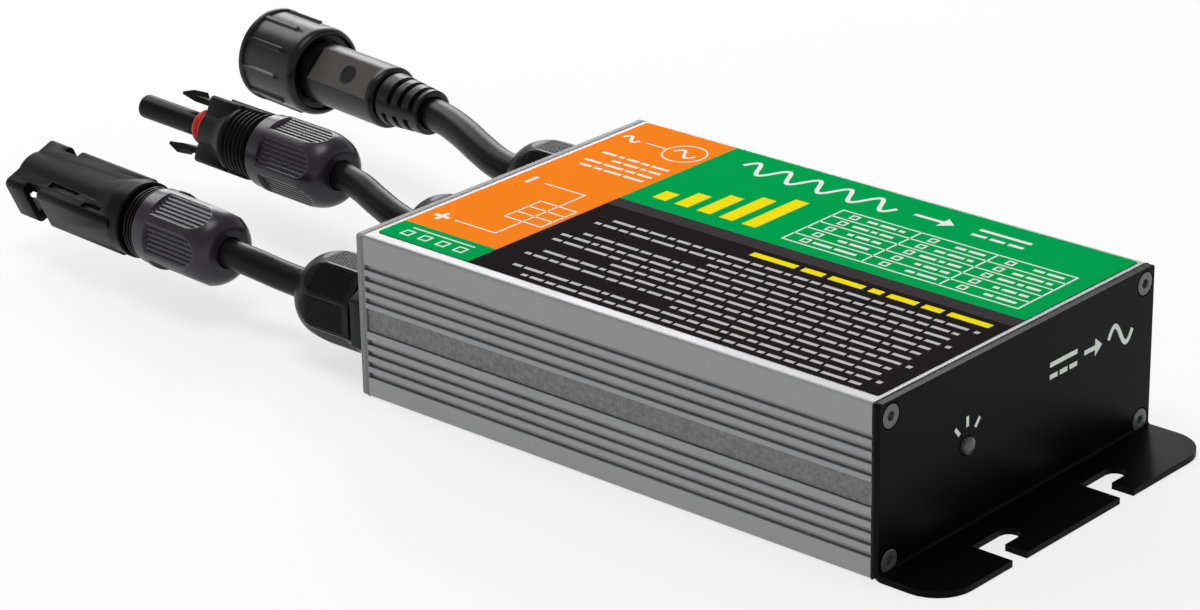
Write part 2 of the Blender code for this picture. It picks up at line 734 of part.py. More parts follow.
def make_choke(place):
    """A wound toroid lying flat."""
    outer, height = CHOKE_DIAMETER / 2, CHOKE_HEIGHT
    inner = outer - height * 0.8
    edge = height / 4
    sections = [
        (0, outer - edge), (edge, outer), (height - edge, outer), (height, outer - edge),
        (height, inner + edge), (height - edge, inner), (edge, inner), (0, inner + edge),
    ]
    bm = turned(sections, even_angles(20), hollow=True)
    add_object("filter_choke", bm, "choke_winding", location=(*place, PARTS_LEVEL))


def make_relay(start):
    length, width, height = RELAY_SIZE
    bm = bmesh.new()
    add_box(bm, (0, -width / 2, 0), (length, width / 2, height))
    bmesh.ops.bevel(
        bm, geom=bm.edges[:], offset=FIT, segments=1, affect="EDGES", profile=0.5, material=-1
    )
    add_object("grid_relay", bm, "relay_case", location=(start, 0, PARTS_LEVEL))


def make_heat_bar():
    """The bar that carries the power switches' heat to the near wall."""
    length, depth, height = HEAT_BAR
    wall = -(WIDTH / 2 - WALL - RAIL_DEPTH - FIT)
    outline = [(wall, 0), (wall + depth, 0), (wall + depth, height * 0.4), (wall + depth / 2, height)]
    outline += [(wall, height)]
    bm = bmesh.new()
    prism_along_x(bm, outline, -length / 2, length / 2)
    add_object("heat_bar", bm, "aluminium", location=(0, 0, PARTS_LEVEL))


def make_gland(name, cable):
    """A cable gland in the rear plate: threaded body, dome nut, sealing insert and locknut."""
    frame = add_frame(name + "_gland", (-LENGTH / 2, *GLAND_PLACES[name]), (-1, 0, 0))
    thread = GLAND_THREAD / 2
    bore = AC_CABLE / 2 + 2 * FIT
    pocket = thread - GLAND_SEAL_WALL
    hexagon = flats(GLAND_HEX, 6)
    lock_face = -(SHEET + FIT)
    lock_back = lock_face - LOCKNUT_THICKNESS
    tail = lock_back - THREAD_STAND_OUT
    shoulder = FIT + GLAND_HEX_THICKNESS
    neck_end = shoulder + GLAND_NECK
    sections = [
        (tail, thread), (FIT, thread), (FIT, hexagon), (shoulder, hexagon),
        (shoulder, thread), (neck_end, thread), (neck_end, pocket), (shoulder, pocket),
        (shoulder, bore), (tail, bore),
    ]
    bm = turned(sections, even_angles(12), hollow=True)
    add_object(name + "_gland_body", bm, "gland_nylon", frame)

    rim = shoulder + FIT
    length = GLAND_NUT_LENGTH
    facet = flats(GLAND_NUT_SIZE, 8)
    clear = thread + FIT
    exit_hole = cable / 2 + FIT
    seal_end = neck_end + GLAND_SEAL_WALL
    mouth = exit_hole + GLAND_SEAL_WALL

    def dome(share):
        return lambda angle: mouth + share * (facet(angle) - mouth)

    sections = [
        (rim, facet), (rim + 0.5 * length, facet), (rim + 0.72 * length, dome(0.86)),
        (rim + 0.88 * length, dome(0.55)), (rim + 0.97 * length, dome(0.2)),
        (rim + length, mouth), (rim + length, exit_hole),
        (seal_end + GLAND_SEAL_WALL, exit_hole), (seal_end + FIT, pocket), (neck_end + FIT, clear),
        (rim, clear),
    ]
    bm = turned(sections, even_angles(16), hollow=True)
    add_object(name + "_gland_nut", bm, "gland_nylon", frame)

    insert = pocket - FIT
    sections = [
        (shoulder + FIT, insert), (neck_end, insert), (seal_end, insert - FIT),
        (seal_end, exit_hole), (shoulder + FIT, exit_hole),
    ]
    bm = turned(sections, even_angles(16), hollow=True)
    add_object(name + "_gland_seal", bm, "rubber", frame)

    locknut = flats(LOCKNUT_SIZE, 6)
    sections = [(lock_back, locknut), (lock_face, locknut), (lock_face, clear), (lock_back, clear)]
    bm = turned(sections, even_angles(12), hollow=True)
    add_object(name + "_gland_locknut", bm, "gland_nylon", frame)


def lead_points(lead, route):
    """A lead's route as points in the case's frame."""
    across, height = GLAND_PLACES[lead]
    start = Vector((-LENGTH / 2, across, height))
    return [start + Vector((-out, side, up)) * MM for out, side, up in route]


def smooth_points(knots):
    """Points at an even step along a Catmull-Rom curve through the knots."""
    knots = [2 * knots[0] - knots[1], *knots, 2 * knots[-1] - knots[-2]]
    points = [knots[1]]
    for before, start, end, after in zip(knots, knots[1:], knots[2:], knots[3:]):
        steps = max(1, round((end - start).length / CABLE_STEP))
        for step in range(1, steps + 1):
            t = step / steps
            bend = 2 * before - 5 * start + 4 * end - after
            sharp = 3 * start - before - 3 * end + after
            points.append(0.5 * (2 * start + (end - before) * t + bend * t * t + sharp * t ** 3))
    return points


def make_cable(lead, route, heading, inside, diameter):
    """A round cable along its route, then straight on inside its connector."""
    name = lead + "_cable"
    along = Vector(heading).normalized()
    points = smooth_points(lead_points(lead, route))
    steps = max(1, round(inside / CABLE_STEP / 2))
    points += [points[-1] + along * inside * step / steps for step in range(1, steps + 1)]
    curve = bpy.data.curves.new(name, "CURVE")
    curve.dimensions = "3D"
    curve.bevel_depth = diameter / 2
    curve.bevel_resolution = 4
    curve.use_fill_caps = True
    spline = curve.splines.new("POLY")
    spline.points.add(len(points) - 1)
    for slot, point in zip(spline.points, points):
        slot.co = (*point, 1.0)
    curve.materials.append(finish_material("cable_jacket"))
    bpy.context.collection.objects.link(bpy.data.objects.new(name, curve))


def panelled(radius, depth=0.0):
    """Radius of a round nut with flat grip panels, by angle. The depth is that of their ribs."""
    sector = FULL_TURN / DC_NUT_PANELS

    def reach(angle):
        offset = angle % sector - sector / 2
        step = round(offset / sector * DC_NUT_STEPS)
        cut_in = depth if abs(step) == 1 else 0
        return min(radius, DC_NUT_FLAT / 2 / math.cos(offset)) - cut_in

    return reach


def make_dc_nut(name, frame):
    """The cable nut of a panel-lead connector, rounded where the cable comes out."""
    radius = DC_NUT_DIAMETER / 2
    hole = DC_CABLE / 2 + FIT
    clear = DC_THREAD / 2 + FIT
    seat = DC_THREAD_START - 2 * FIT
    pocket = DC_THREAD / 2 - DC_SEAL_WALL + FIT
    flat, ribs = panelled(radius), panelled(radius, DC_NUT_RIB_DEPTH)
    sections = [
        (0, hole), (0, 0.56 * radius), (0.06 * radius, 0.7 * radius), (0.25 * radius, 0.86 * radius),
        (0.56 * radius, panelled(0.97 * radius)), (0.82 * radius, flat), (0.86 * radius, ribs),
        (DC_NUT_LENGTH * 0.8, ribs), (DC_NUT_LENGTH * 0.82, flat), (DC_NUT_LENGTH * 0.85, radius),
        (DC_NUT_LENGTH, radius - FIT), (DC_NUT_LENGTH, clear), (seat, clear),
        (seat - DC_SEAL_WALL, pocket), (seat - 2 * DC_SEAL_WALL, hole),
    ]
    bm = turned(sections, even_angles(DC_NUT_STEPS * DC_NUT_PANELS), hollow=True)
    add_object(name, bm, "nut_plastic", frame)


def make_dc_seal(name, frame):
    outer = DC_THREAD / 2 - DC_SEAL_WALL - FIT
    hole = DC_CABLE / 2 + FIT
    start = DC_THREAD_START - DC_SEAL_WALL
    sections = [(start, outer), (start + DC_SEAL_LENGTH, outer)]
    sections += [(start + DC_SEAL_LENGTH, hole), (start, hole)]
    bm = turned(sections, even_angles(16), hollow=True)
    add_object(name, bm, "rubber", frame)


def dc_rear_bore(end):
    """The inside of a panel-lead connector from its front web back to its thread's end."""
    hole = DC_CABLE / 2 + FIT
    pocket = DC_THREAD / 2 - DC_SEAL_WALL
    pocket_end = DC_THREAD_START - DC_SEAL_WALL + DC_SEAL_LENGTH + FIT
    barrel = CONTACT_BARREL / 2 + CONTACT_ROOM
    return [
        (end, barrel), (DC_JACKET_END + FIT, barrel), (DC_JACKET_END + FIT, hole),
        (pocket_end, hole), (pocket_end, pocket), (DC_THREAD_START, pocket),
    ]


def make_contact(name, frame, barrel_end, tip, diameter):
    """A crimped contact: its barrel against the cable's jacket and its pin towards the front."""
    start = DC_JACKET_END + FIT
    sections = [
        (start, CONTACT_BARREL / 2), (barrel_end, CONTACT_BARREL / 2), (barrel_end, diameter / 2),
        (tip - diameter / 3, diameter / 2), (tip, diameter / 5),
    ]
    add_object(name, turned(sections, even_angles(12)), "contact_metal", frame)


def make_shell_connector():
    """The positive lead's connector: a shrouded mouth with a latch window in either ear."""
    name = "dc_positive"
    start = lead_points(name, POSITIVE_ROUTE)[-1]
    frame = add_frame(name + "_axis", start, POSITIVE_HEADING, SHELL_ROLL)
    make_dc_nut(name + "_connector_nut", frame)
    make_dc_seal(name + "_connector_seal", frame)

    thread = DC_THREAD / 2
    collar_end = SHELL_COLLAR_START + SHELL_COLLAR_LENGTH
    form = (SHELL_WIDTH, SHELL_EAR_THICKNESS, SHELL_BODY, SHELL_CHAMFER)
    mouth = SHELL_MOUTH / 2
    web = SHELL_FRONT - SHELL_MOUTH_DEPTH
    outline = eared(*form)
    sections = [
        (DC_THREAD_START, thread), (SHELL_COLLAR_START, thread),
        (SHELL_COLLAR_START, SHELL_COLLAR / 2), (collar_end, SHELL_COLLAR / 2),
        (collar_end, outline), (SHELL_FRONT, outline), (SHELL_FRONT, mouth), (web, mouth),
        *dc_rear_bore(web),
    ]
    bm = turned(sections, eared_angles(*form), hollow=True)
    body = add_object(name + "_connector_body", bm, "connector_plastic", frame)

    bm = bmesh.new()
    far = SHELL_FRONT - WINDOW_SET_BACK
    reach = SHELL_WIDTH / 2
    for facing in (-1, 1):
        low, high = sorted((facing * (reach - WINDOW_DEPTH), facing * 2 * reach))
        side = SHELL_EAR_THICKNESS
        add_box(bm, (low, -side, far - WINDOW_LENGTH), (high, side, far))
    cut(body, add_object(name + "_windows", bm, parent=frame))

    bm = bmesh.new()
    span, side = ARM_SLOT_SPAN / 2, ARM_SLOT_WIDTH / 2
    add_box(bm, (-span, -side, far - 2 * WINDOW_LENGTH), (span, side, SHELL_FRONT + WINDOW_LENGTH))
    cut(body, add_object(name + "_arm_slots", bm, parent=frame))

    make_contact(name + "_contact", frame, web, SHELL_FRONT - PIN_SET_BACK, PIN_DIAMETER)


def make_nose_connector():
    """The negative lead's connector: a nose with a red seal between two latch arms."""
    name = "dc_negative"
    start = lead_points(name, NEGATIVE_ROUTE)[-1]
    frame = add_frame(name + "_axis", start, NEGATIVE_HEADING, NOSE_ROLL)
    make_dc_nut(name + "_connector_nut", frame)
    make_dc_seal(name + "_connector_seal", frame)

    thread, nose, bore = DC_THREAD / 2, NOSE_DIAMETER / 2, NOSE_BORE / 2
    front = NOSE_BODY_START + NOSE_BODY_LENGTH
    seat = NOSE_SEAL_SEAT / 2
    seal_start = front + FIT
    step = seal_start + NOSE_SEAL_LENGTH + FIT
    form = (NOSE_BODY_WIDTH, NOSE_BODY_THICKNESS, NOSE_BODY_ROUND, NOSE_BODY_CHAMFER)
    outline = eared(*form)
    collar_end = NOSE_BODY_START + NOSE_COLLAR_LENGTH
    web = front - NOSE_SEAL_LENGTH
    sections = [
        (DC_THREAD_START, thread), (NOSE_BODY_START, thread), (NOSE_BODY_START, NOSE_COLLAR / 2),
        (collar_end, NOSE_COLLAR / 2), (collar_end, outline), (front, outline), (front, seat), (step, seat),
        (step, nose), (NOSE_FRONT - FIT, nose), (NOSE_FRONT, nose - FIT), (NOSE_FRONT, bore),
        (web, bore), *dc_rear_bore(web),
    ]
    bm = turned(sections, eared_angles(*form), hollow=True)
    body = add_object(name + "_connector_body", bm, "connector_plastic", frame)

    bm = bmesh.new()
    root = front - LATCH_ROOT
    half = LATCH_WIDTH / 2 + FIT
    inner = LATCH_OFFSET - LATCH_THICKNESS / 2 - LATCH_ROOM
    for facing in (-1, 1):
        low, high = sorted((facing * inner, facing * NOSE_BODY_WIDTH))
        add_box(bm, (low, -half, root - FIT), (high, half, front + LATCH_ROOT))
    cut(body, add_object(name + "_latch_pockets", bm, parent=frame))

    for side, facing in (("upper", 1), ("lower", -1)):
        arm = add_object(f"{name}_latch_{side}", latch_arm(facing), "connector_plastic", frame)
        arm.location = (facing * LATCH_OFFSET, 0, root + LATCH_THICKNESS / 2)

    low, high = seat + FIT, seat + NOSE_SEAL_WALL
    fifth = NOSE_SEAL_LENGTH / 6
    sections = [(seal_start, low), (seal_start, high - FIT), (seal_start + fifth, high)]
    sections += [(seal_start + 2 * fifth, high), (seal_start + 3 * fifth, high - 2 * FIT)]
    sections += [(seal_start + 4 * fifth, high), (seal_start + 5 * fifth, high)]
    sections += [(seal_start + NOSE_SEAL_LENGTH, high - FIT), (seal_start + NOSE_SEAL_LENGTH, low)]
    bm = turned(sections, even_angles(16), hollow=True)
    add_object(name + "_nose_seal", bm, "red_rubber", frame)

    tip = NOSE_FRONT - NOSE_SEAL_LENGTH
    make_contact(name + "_contact", frame, web - FIT, tip, NOSE_BORE - 2 * FIT)


def latch_arm(facing):
    """A springy arm with a barbed tip. Its origin is on the bending line at its root."""
    half = LATCH_THICKNESS / 2
    tip = LATCH_LENGTH - half
    barb = half + LATCH_BARB
    outline = [
        (-half, -half), (half, -half), (half, tip - 4 * LATCH_BARB), (barb, tip - 3 * LATCH_BARB),
        (half, tip), (0, tip), (-half, tip - 4 * LATCH_BARB),
    ]
    bm = bmesh.new()
    prism_along_y(bm, [(facing * x, z) for x, z in outline], -LATCH_WIDTH / 2, LATCH_WIDTH / 2)
    return bm


def flatted(diameter, flat, direction):
    """Radius of a round body with one flat, by angle."""
    middle = math.radians(direction)

    def radius(angle):
        towards = math.cos(angle - middle)
        return min(diameter / 2, flat / 2 / towards) if towards > 1e-6 else diameter / 2

    return radius


def relief_radius(height):
    share = height / RELIEF_LENGTH
    return (RELIEF_END + (RELIEF_ROOT - RELIEF_END) * share) / 2


def relief_slot(radius, turned_slot):
    """A flex slot of the strain relief, bridged at two opposite places."""

    def reach(angle):
        across = math.sin(angle) if turned_slot else math.cos(angle)
        return radius - (RELIEF_SLOT_DEPTH if abs(across) < RELIEF_BRIDGE else 0)

    return reach


def make_plug():
    """The mains lead's connector: moulded strain relief, body, locking ring, insert and pins."""
    frame = add_frame("ac_axis", lead_points("ac", AC_ROUTE)[-1], AC_HEADING)
    hole = AC_CABLE / 2 + FIT
    shoulder = RELIEF_LENGTH
    front = shoulder + PLUG_BODY_LENGTH
    ring_back = front + FIT
    collar = ring_back + RING_LIP + FIT
    cup_back = collar + PLUG_COLLAR_LENGTH
    cup_end = cup_back + PLUG_CUP_LENGTH
    seal_out = PLUG_COLLAR / 2
    cup = seal_out - FACE_SEAL
    cup_inner = cup - PLUG_CUP_WALL
    flat = flatted(PLUG_BODY, PLUG_FLAT, PLUG_FLAT_ANGLE)
    sections = [(0, hole), (0, relief_radius(0))]
    pitch = RELIEF_LENGTH / (RELIEF_SLOTS + 1)
    for index in range(RELIEF_SLOTS):
        low = pitch * (index + 0.6)
        high = low + RELIEF_SLOT_WIDTH
        sections += [(low, relief_radius(low)), (low, relief_slot(relief_radius(low), index % 2))]
        sections += [(high, relief_slot(relief_radius(high), index % 2)), (high, relief_radius(high))]
    jacket_end = cup_back - FIT
    sections += [
        (shoulder - FIT, RELIEF_ROOT / 2), (shoulder, PLUG_BODY / 2),
        (shoulder + PLUG_COLLAR_LENGTH, PLUG_BODY / 2), (shoulder + PLUG_COLLAR_LENGTH, flat),
        (front - PLUG_COLLAR_LENGTH, flat), (front - PLUG_COLLAR_LENGTH, PLUG_BODY / 2),
        (collar, PLUG_BODY / 2), (collar, PLUG_COLLAR / 2), (cup_back, PLUG_COLLAR / 2),
        (cup_back, cup), (cup_end, cup), (cup_end, cup_inner), (jacket_end, cup_inner),
        (jacket_end, hole),
    ]
    bm = turned(sections, even_angles(24), hollow=True)
    add_object("ac_connector_body", bm, "connector_plastic", frame)

    make_ring(frame, ring_back)

    sections = [(cup_back + FIT, seal_out), (cup_back + FIT + FACE_SEAL, seal_out)]
    sections += [(cup_back + FIT + FACE_SEAL, cup + FIT), (cup_back + FIT, cup + FIT)]
    bm = turned(sections, even_angles(20), hollow=True)
    add_object("ac_face_seal", bm, "rubber", frame)

    insert = add_object(
        "ac_contact_insert",
        turned(
            [(jacket_end + FIT, cup_inner - FIT), (jacket_end + FIT + INSERT_LENGTH, cup_inner - FIT)],
            even_angles(20),
        ),
        "connector_plastic",
        frame,
    )
    bm = bmesh.new()
    face = jacket_end + FIT + INSERT_LENGTH
    for index in range(3):
        angle = FULL_TURN * index / 3
        centre = (PLUG_PIN_CIRCLE / 2 * math.cos(angle), PLUG_PIN_CIRCLE / 2 * math.sin(angle))
        sections = [(jacket_end, PLUG_PIN / 2 + FIT), (face + FIT, PLUG_PIN / 2 + FIT)]
        add_turned(bm, sections, even_angles(10), centre=centre)
        pin = bmesh.new()
        low, high = jacket_end + 2 * FIT, face + PLUG_PIN_REACH
        sections = [(low, PLUG_PIN / 2), (high - FIT, PLUG_PIN / 2), (high, PLUG_PIN / 2 - FIT)]
        add_turned(pin, sections, even_angles(10), centre=centre)
        add_object(f"ac_contact_{index + 1}", pin, "contact_metal", frame)
    cut(insert, add_object("ac_insert_holes", bm, parent=frame))


def make_ring(frame, back):
    """The locking ring, which turns on the plug's body and can't come off over its collar."""
    outer = RING_DIAMETER / 2
    plain = outer - RING_RIB_HEIGHT
    inner = plain - RING_WALL
    lip = PLUG_BODY / 2 + FIT
    front = back + RING_LENGTH
    pitch = FULL_TURN / RING_RIBS
    half = math.radians(RING_RIB_ANGLE) / 2
    angles = []
    for index in range(RING_RIBS):
        middle = pitch * index
        angles += [middle - 1.3 * half, middle - half, middle + half, middle + 1.3 * half]
        angles += [middle + pitch / 2]

    def ribs(angle):
        offset = abs((angle + pitch / 2) % pitch - pitch / 2)
        return outer if offset < 1.1 * half else plain

    smooth = back + RING_SMOOTH
    bead = front - RING_BEAD
    sections = [
        (back, lip), (back, plain - RING_RIB_HEIGHT), (back + RING_RIB_HEIGHT, plain),
        (smooth, plain), (smooth + FIT, ribs), (bead - FIT, ribs),
        (bead, outer), (front - FIT, outer), (front, outer - FIT), (front, inner),
        (back + RING_LIP, inner), (back + RING_LIP, lip),
    ]
    bm = turned(sections, angles, hollow=True)
    add_object("ac_coupling_ring", bm, "connector_plastic", frame)


def clear_scene():
    for obj in list(bpy.data.objects):
        bpy.data.objects.remove(obj, do_unlink=True)


def main():
    clear_scene()
    make_shells()
    make_front_plate()
    make_rear_plate()
    make_gasket("front_gasket", 1)
    make_locknut_room(make_gasket("rear_gasket", -1))
    make_screws()
    make_lamp()
    make_label()
    make_board()
    make_gland("dc_positive", DC_CABLE)
    make_gland("dc_negative", DC_CABLE)
    make_gland("ac", AC_CABLE)
    make_cable("dc_positive", POSITIVE_ROUTE, POSITIVE_HEADING, DC_JACKET_END, DC_CABLE)
    make_cable("dc_negative", NEGATIVE_ROUTE, NEGATIVE_HEADING, DC_JACKET_END, DC_CABLE)
    make_cable("ac", AC_ROUTE, AC_HEADING, RELIEF_LENGTH + PLUG_BODY_LENGTH, AC_CABLE)
    make_shell_connector()
    make_nose_connector()
    make_plug()


main()
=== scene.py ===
"""Finishes, fine pieces, leads and studio for a micro inverter with three glanded leads.

Metres, +Z up. The origin is the middle of the case's underside. +X is the status panel and its
flange, and the leads leave towards -X. Profiles, outlines and printed lines are in millimetres.
"""

import json
import math
from collections import namedtuple

import bmesh
import bpy
from bpy.props import FloatProperty, FloatVectorProperty, IntProperty, PointerProperty
from mathutils import Matrix, Vector


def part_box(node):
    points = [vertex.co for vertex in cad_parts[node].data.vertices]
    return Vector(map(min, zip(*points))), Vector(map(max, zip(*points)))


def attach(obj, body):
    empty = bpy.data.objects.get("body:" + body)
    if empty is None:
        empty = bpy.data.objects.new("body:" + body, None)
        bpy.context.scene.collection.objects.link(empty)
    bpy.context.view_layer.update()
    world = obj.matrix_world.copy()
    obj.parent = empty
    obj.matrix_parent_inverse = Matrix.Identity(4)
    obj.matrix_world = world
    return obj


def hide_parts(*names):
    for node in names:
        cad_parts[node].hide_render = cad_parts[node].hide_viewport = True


bl_info = {
    "name": "Micro Inverter Finish",
    "version": (1, 0, 0),
    "blender": (4, 5, 0),
    "location": "View3D > Sidebar > Micro Inverter",
    "description": "Finishes, fine pieces, leads and studio for a micro inverter",
    "category": "Object",
}

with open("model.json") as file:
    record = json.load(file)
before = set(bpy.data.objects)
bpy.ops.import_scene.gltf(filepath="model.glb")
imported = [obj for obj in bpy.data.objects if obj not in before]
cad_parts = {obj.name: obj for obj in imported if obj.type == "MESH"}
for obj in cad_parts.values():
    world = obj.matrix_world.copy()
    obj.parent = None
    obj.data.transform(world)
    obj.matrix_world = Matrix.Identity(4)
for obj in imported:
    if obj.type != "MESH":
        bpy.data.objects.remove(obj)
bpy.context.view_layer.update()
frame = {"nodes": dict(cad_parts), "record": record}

MM = 0.001
FULL_TURN = 2 * math.pi
RIGHT_ANGLE = math.pi / 2
BODY = "housing"
FIT = 0.3  # gap between touching pieces, in millimetres
SAME_POINT = 1e-7  # points nearer to each other than this are merged
WELD_REACH = 1e-5  # the same for the CAD meshes, whose faces don't share points
COARSE, ROUND, FINE, MOULDED, RIBBED = 48, 64, 96, 180, 360  # steps in a full turn

# Leads: each route runs from inside its gland to its connector, then straight on inside it
Lead = namedtuple("Lead", "route heading roll inside")
GLAND_STOPS = (-0.0736, -0.0840, -0.0940)
DC_INSIDE = 33.0 * MM
AC_INSIDE = 44.0 * MM


def lead_route(across, height, *bends):
    """Points along the middle of a lead: level out of its gland, then through its bends."""
    return [(along, across, height) for along in GLAND_STOPS] + list(bends)


LEADS = {
    "dc_positive": Lead(
        lead_route(
            -0.0350, 0.0144, (-0.1040, -0.0351, 0.0145), (-0.1120, -0.0360, 0.0153),
            (-0.1200, -0.0371, 0.0166), (-0.1285, -0.0376, 0.0174),
        ),
        (-1.0, 0.06, 0.0), 156.0, DC_INSIDE,
    ),
    "dc_negative": Lead(
        lead_route(
            0.0010, 0.0178, (-0.1040, 0.0011, 0.0179), (-0.1120, 0.0020, 0.0187),
            (-0.1200, 0.0038, 0.0200), (-0.1280, 0.0059, 0.0214), (-0.1360, 0.0071, 0.0221),
        ),
        (-1.0, 0.056, 0.0), 114.0, DC_INSIDE,
    ),
    "ac": Lead(
        lead_route(
            0.0370, 0.0212, (-0.1040, 0.0371, 0.0213), (-0.1120, 0.0383, 0.0218),
            (-0.1200, 0.0406, 0.0229), (-0.1280, 0.0434, 0.0241), (-0.1360, 0.0460, 0.0249),
            (-0.1440, 0.0479, 0.0252),
        ),
        (-1.0, 0.115, 0.0), 0.0, AC_INSIDE,
    ),
}


def length(label, text, size):
    """A size that a user can change, given in millimetres."""
    return FloatProperty(name=label, description=text, default=size * MM, unit="LENGTH")


def turning(label, text, degrees):
    """An angle that a user can change."""
    return FloatProperty(
        name=label, description=text, default=math.radians(degrees), subtype="ANGLE",
        unit="ROTATION",
    )


def spot(label, text, point):
    """A point that a user can move."""
    return FloatVectorProperty(
        name=label, description=text, default=point, subtype="TRANSLATION", unit="LENGTH"
    )


def number(label, text, default):
    """A count that a user can change."""
    return IntProperty(name=label, description=text, default=default)


def portion(label, text, part):
    """A part of one that a user can change."""
    return FloatProperty(
        name=label, description=text, default=part, min=0.0, max=1.0, subtype="FACTOR"
    )


def power(label, text, watts):
    """A lamp's power that a user can change."""
    return FloatProperty(name=label, description=text, default=watts, unit="POWER")


def ink(label, text, colour):
    """A colour that a user can change."""
    return FloatVectorProperty(name=label, description=text, default=colour, subtype="COLOR")


def srgb(red, green, blue):
    """A colour as it is seen on a screen, 0 to 255, as the linear colour of a shader."""
    return tuple(
        level / 12.92 / 255 if level <= 10 else ((level / 255 + 0.055) / 1.055) ** 2.4
        for level in (red, green, blue)
    )


def grey(level):
    """A grey with a trace of blue."""
    return srgb(level, level, level + 1)


class StageSettings(bpy.types.PropertyGroup):
    """Camera, lamps and floor."""

    camera_place: spot("Camera place", "Where the camera stands", (0.48821, -0.58903, 0.34549))
    camera_target: spot(
        "Camera target", "Point in the middle of the picture", (-0.03565, -0.00996, 0.019684)
    )
    camera_roll: turning("Camera roll", "Turn of the camera about its view", -1.1019)
    lens: FloatProperty(
        name="Lens", description="Focal length on a 36 mm sensor", default=112.113, unit="CAMERA",
    )
    floor_size: length("Floor size", "Side of the pale floor", 12000.0)
    floor_shade: portion("Floor shade", "Paleness of the floor", 0.97)
    floor_glow: portion("Floor glow", "Share of the floor's white that takes no shade", 0.68)
    key_power: power("Key lamp", "Power of the lamp over the top", 2.9)
    back_power: power("Back lamp", "Power of the lamp behind the far side", 7.0)
    side_power: power("Side lamp", "Power of the lamp beyond the leads", 3.6)
    room_light: FloatProperty(
        name="Room light", description="Strength of the light overhead; it is white low down",
        default=0.36,
    )


class CaseSettings(bpy.types.PropertyGroup):
    """The aluminium halves, the plates and their screws."""

    edge_break: length("Edge break", "Width of the rounding on the case's edges", 0.09)
    sheet_break: length("Sheet edge", "Width of the rounding on the plates' edges", 0.14)
    socket_size: length("Socket size", "Width across a screw's hexagon socket", 2.0)
    socket_depth: length("Socket depth", "Depth of a screw's socket", 0.9)


class LabelSettings(bpy.types.PropertyGroup):
    """Fields, lines and inks of the printed film on the top."""

    column: length("Column", "Place along the case where the lead column ends", -42.6)
    lead_field: length("Lead field", "Place across the case where the lead column starts", -36.0)
    band_low: length("Band start", "Near side of the grey band", 0.6)
    band_high: length("Band end", "Far side of the grey band", 5.0)
    line: length("Line width", "Width of a printed line", 0.45)
    bold: length("Bold line", "Width of a bold printed line", 1.1)
    ink_height: length("Ink height", "How far a mark stands on the film", 0.03)
    green: ink("Green", "Colour of the large field", srgb(5, 158, 79))
    orange: ink("Orange", "Colour of the lead column", srgb(244, 130, 32))
    black: ink("Black", "Colour of the near field", srgb(35, 31, 32))
    grey: ink("Grey", "Colour of the band between the fields", srgb(61, 57, 58))
    white: ink("White", "Colour of lines and signs", srgb(232, 234, 230))
    pale: ink("Pale grey", "Colour of the fine rows", srgb(190, 188, 188))
    yellow: ink("Yellow", "Colour of the bold bars", srgb(240, 222, 24))


class GlandSettings(bpy.types.PropertyGroup):
    """The cable glands on the rear plate."""

    hexagon: length("Hexagon", "Width across the body's flats", 20.0)
    hexagon_height: length("Hexagon height", "Thickness of the body's hexagon", 7.0)
    nut_size: length("Nut size", "Width across the dome nut's flats", 20.2)
    nut_length: length("Nut length", "Length of the dome nut", 21.0)
    facets: number("Facets", "Flats round a dome nut", 8)
    ribs: number("Ribs", "Fine ribs on each flat", 12)


class LeadSettings(bpy.types.PropertyGroup):
    """Cables, and the cable nuts and threads of the two panel-lead connectors."""

    dc_cable: length("Panel cable", "Diameter of the two panel leads", 7.3)
    ac_cable: length("Mains cable", "Diameter of the mains lead", 8.2)
    nut_diameter: length("Cable nut", "Diameter of a connector's cable nut", 19.5)
    nut_length: length("Cable nut length", "Length of a connector's cable nut", 26.0)
    nut_flat: length("Nut panels", "Width across two opposite grip panels", 17.8)
    panels: number("Grip panels", "Ribbed panels round a nut", 6)
    rib_angle: turning("Rib spacing", "Turn from one grip rib to the next", 7.5)
    thread: length("Thread", "Diameter of the thread under a cable nut", 15.4)
    thread_pitch: length("Thread pitch", "Distance between two turns of the thread", 1.5)


class RingSettings(bpy.types.PropertyGroup):
    """The mains connector's body and locking ring."""

    body: length("Body", "Diameter of the moulded body", 16.2)
    flat: length("Flat", "Distance of the body's flat from its axis", 6.6)
    flat_angle: turning("Flat angle", "Turn of the body's flat from the near side", 43)
    ring: length("Ring", "Diameter of the locking ring over its ribs", 25.0)
    rib_height: length("Rib height", "How far a grip rib stands out", 0.7)
    rib_width: turning("Rib width", "Turn that one grip rib covers", 7)
    ribs: number("Ring ribs", "Grip ribs round the ring", 10)


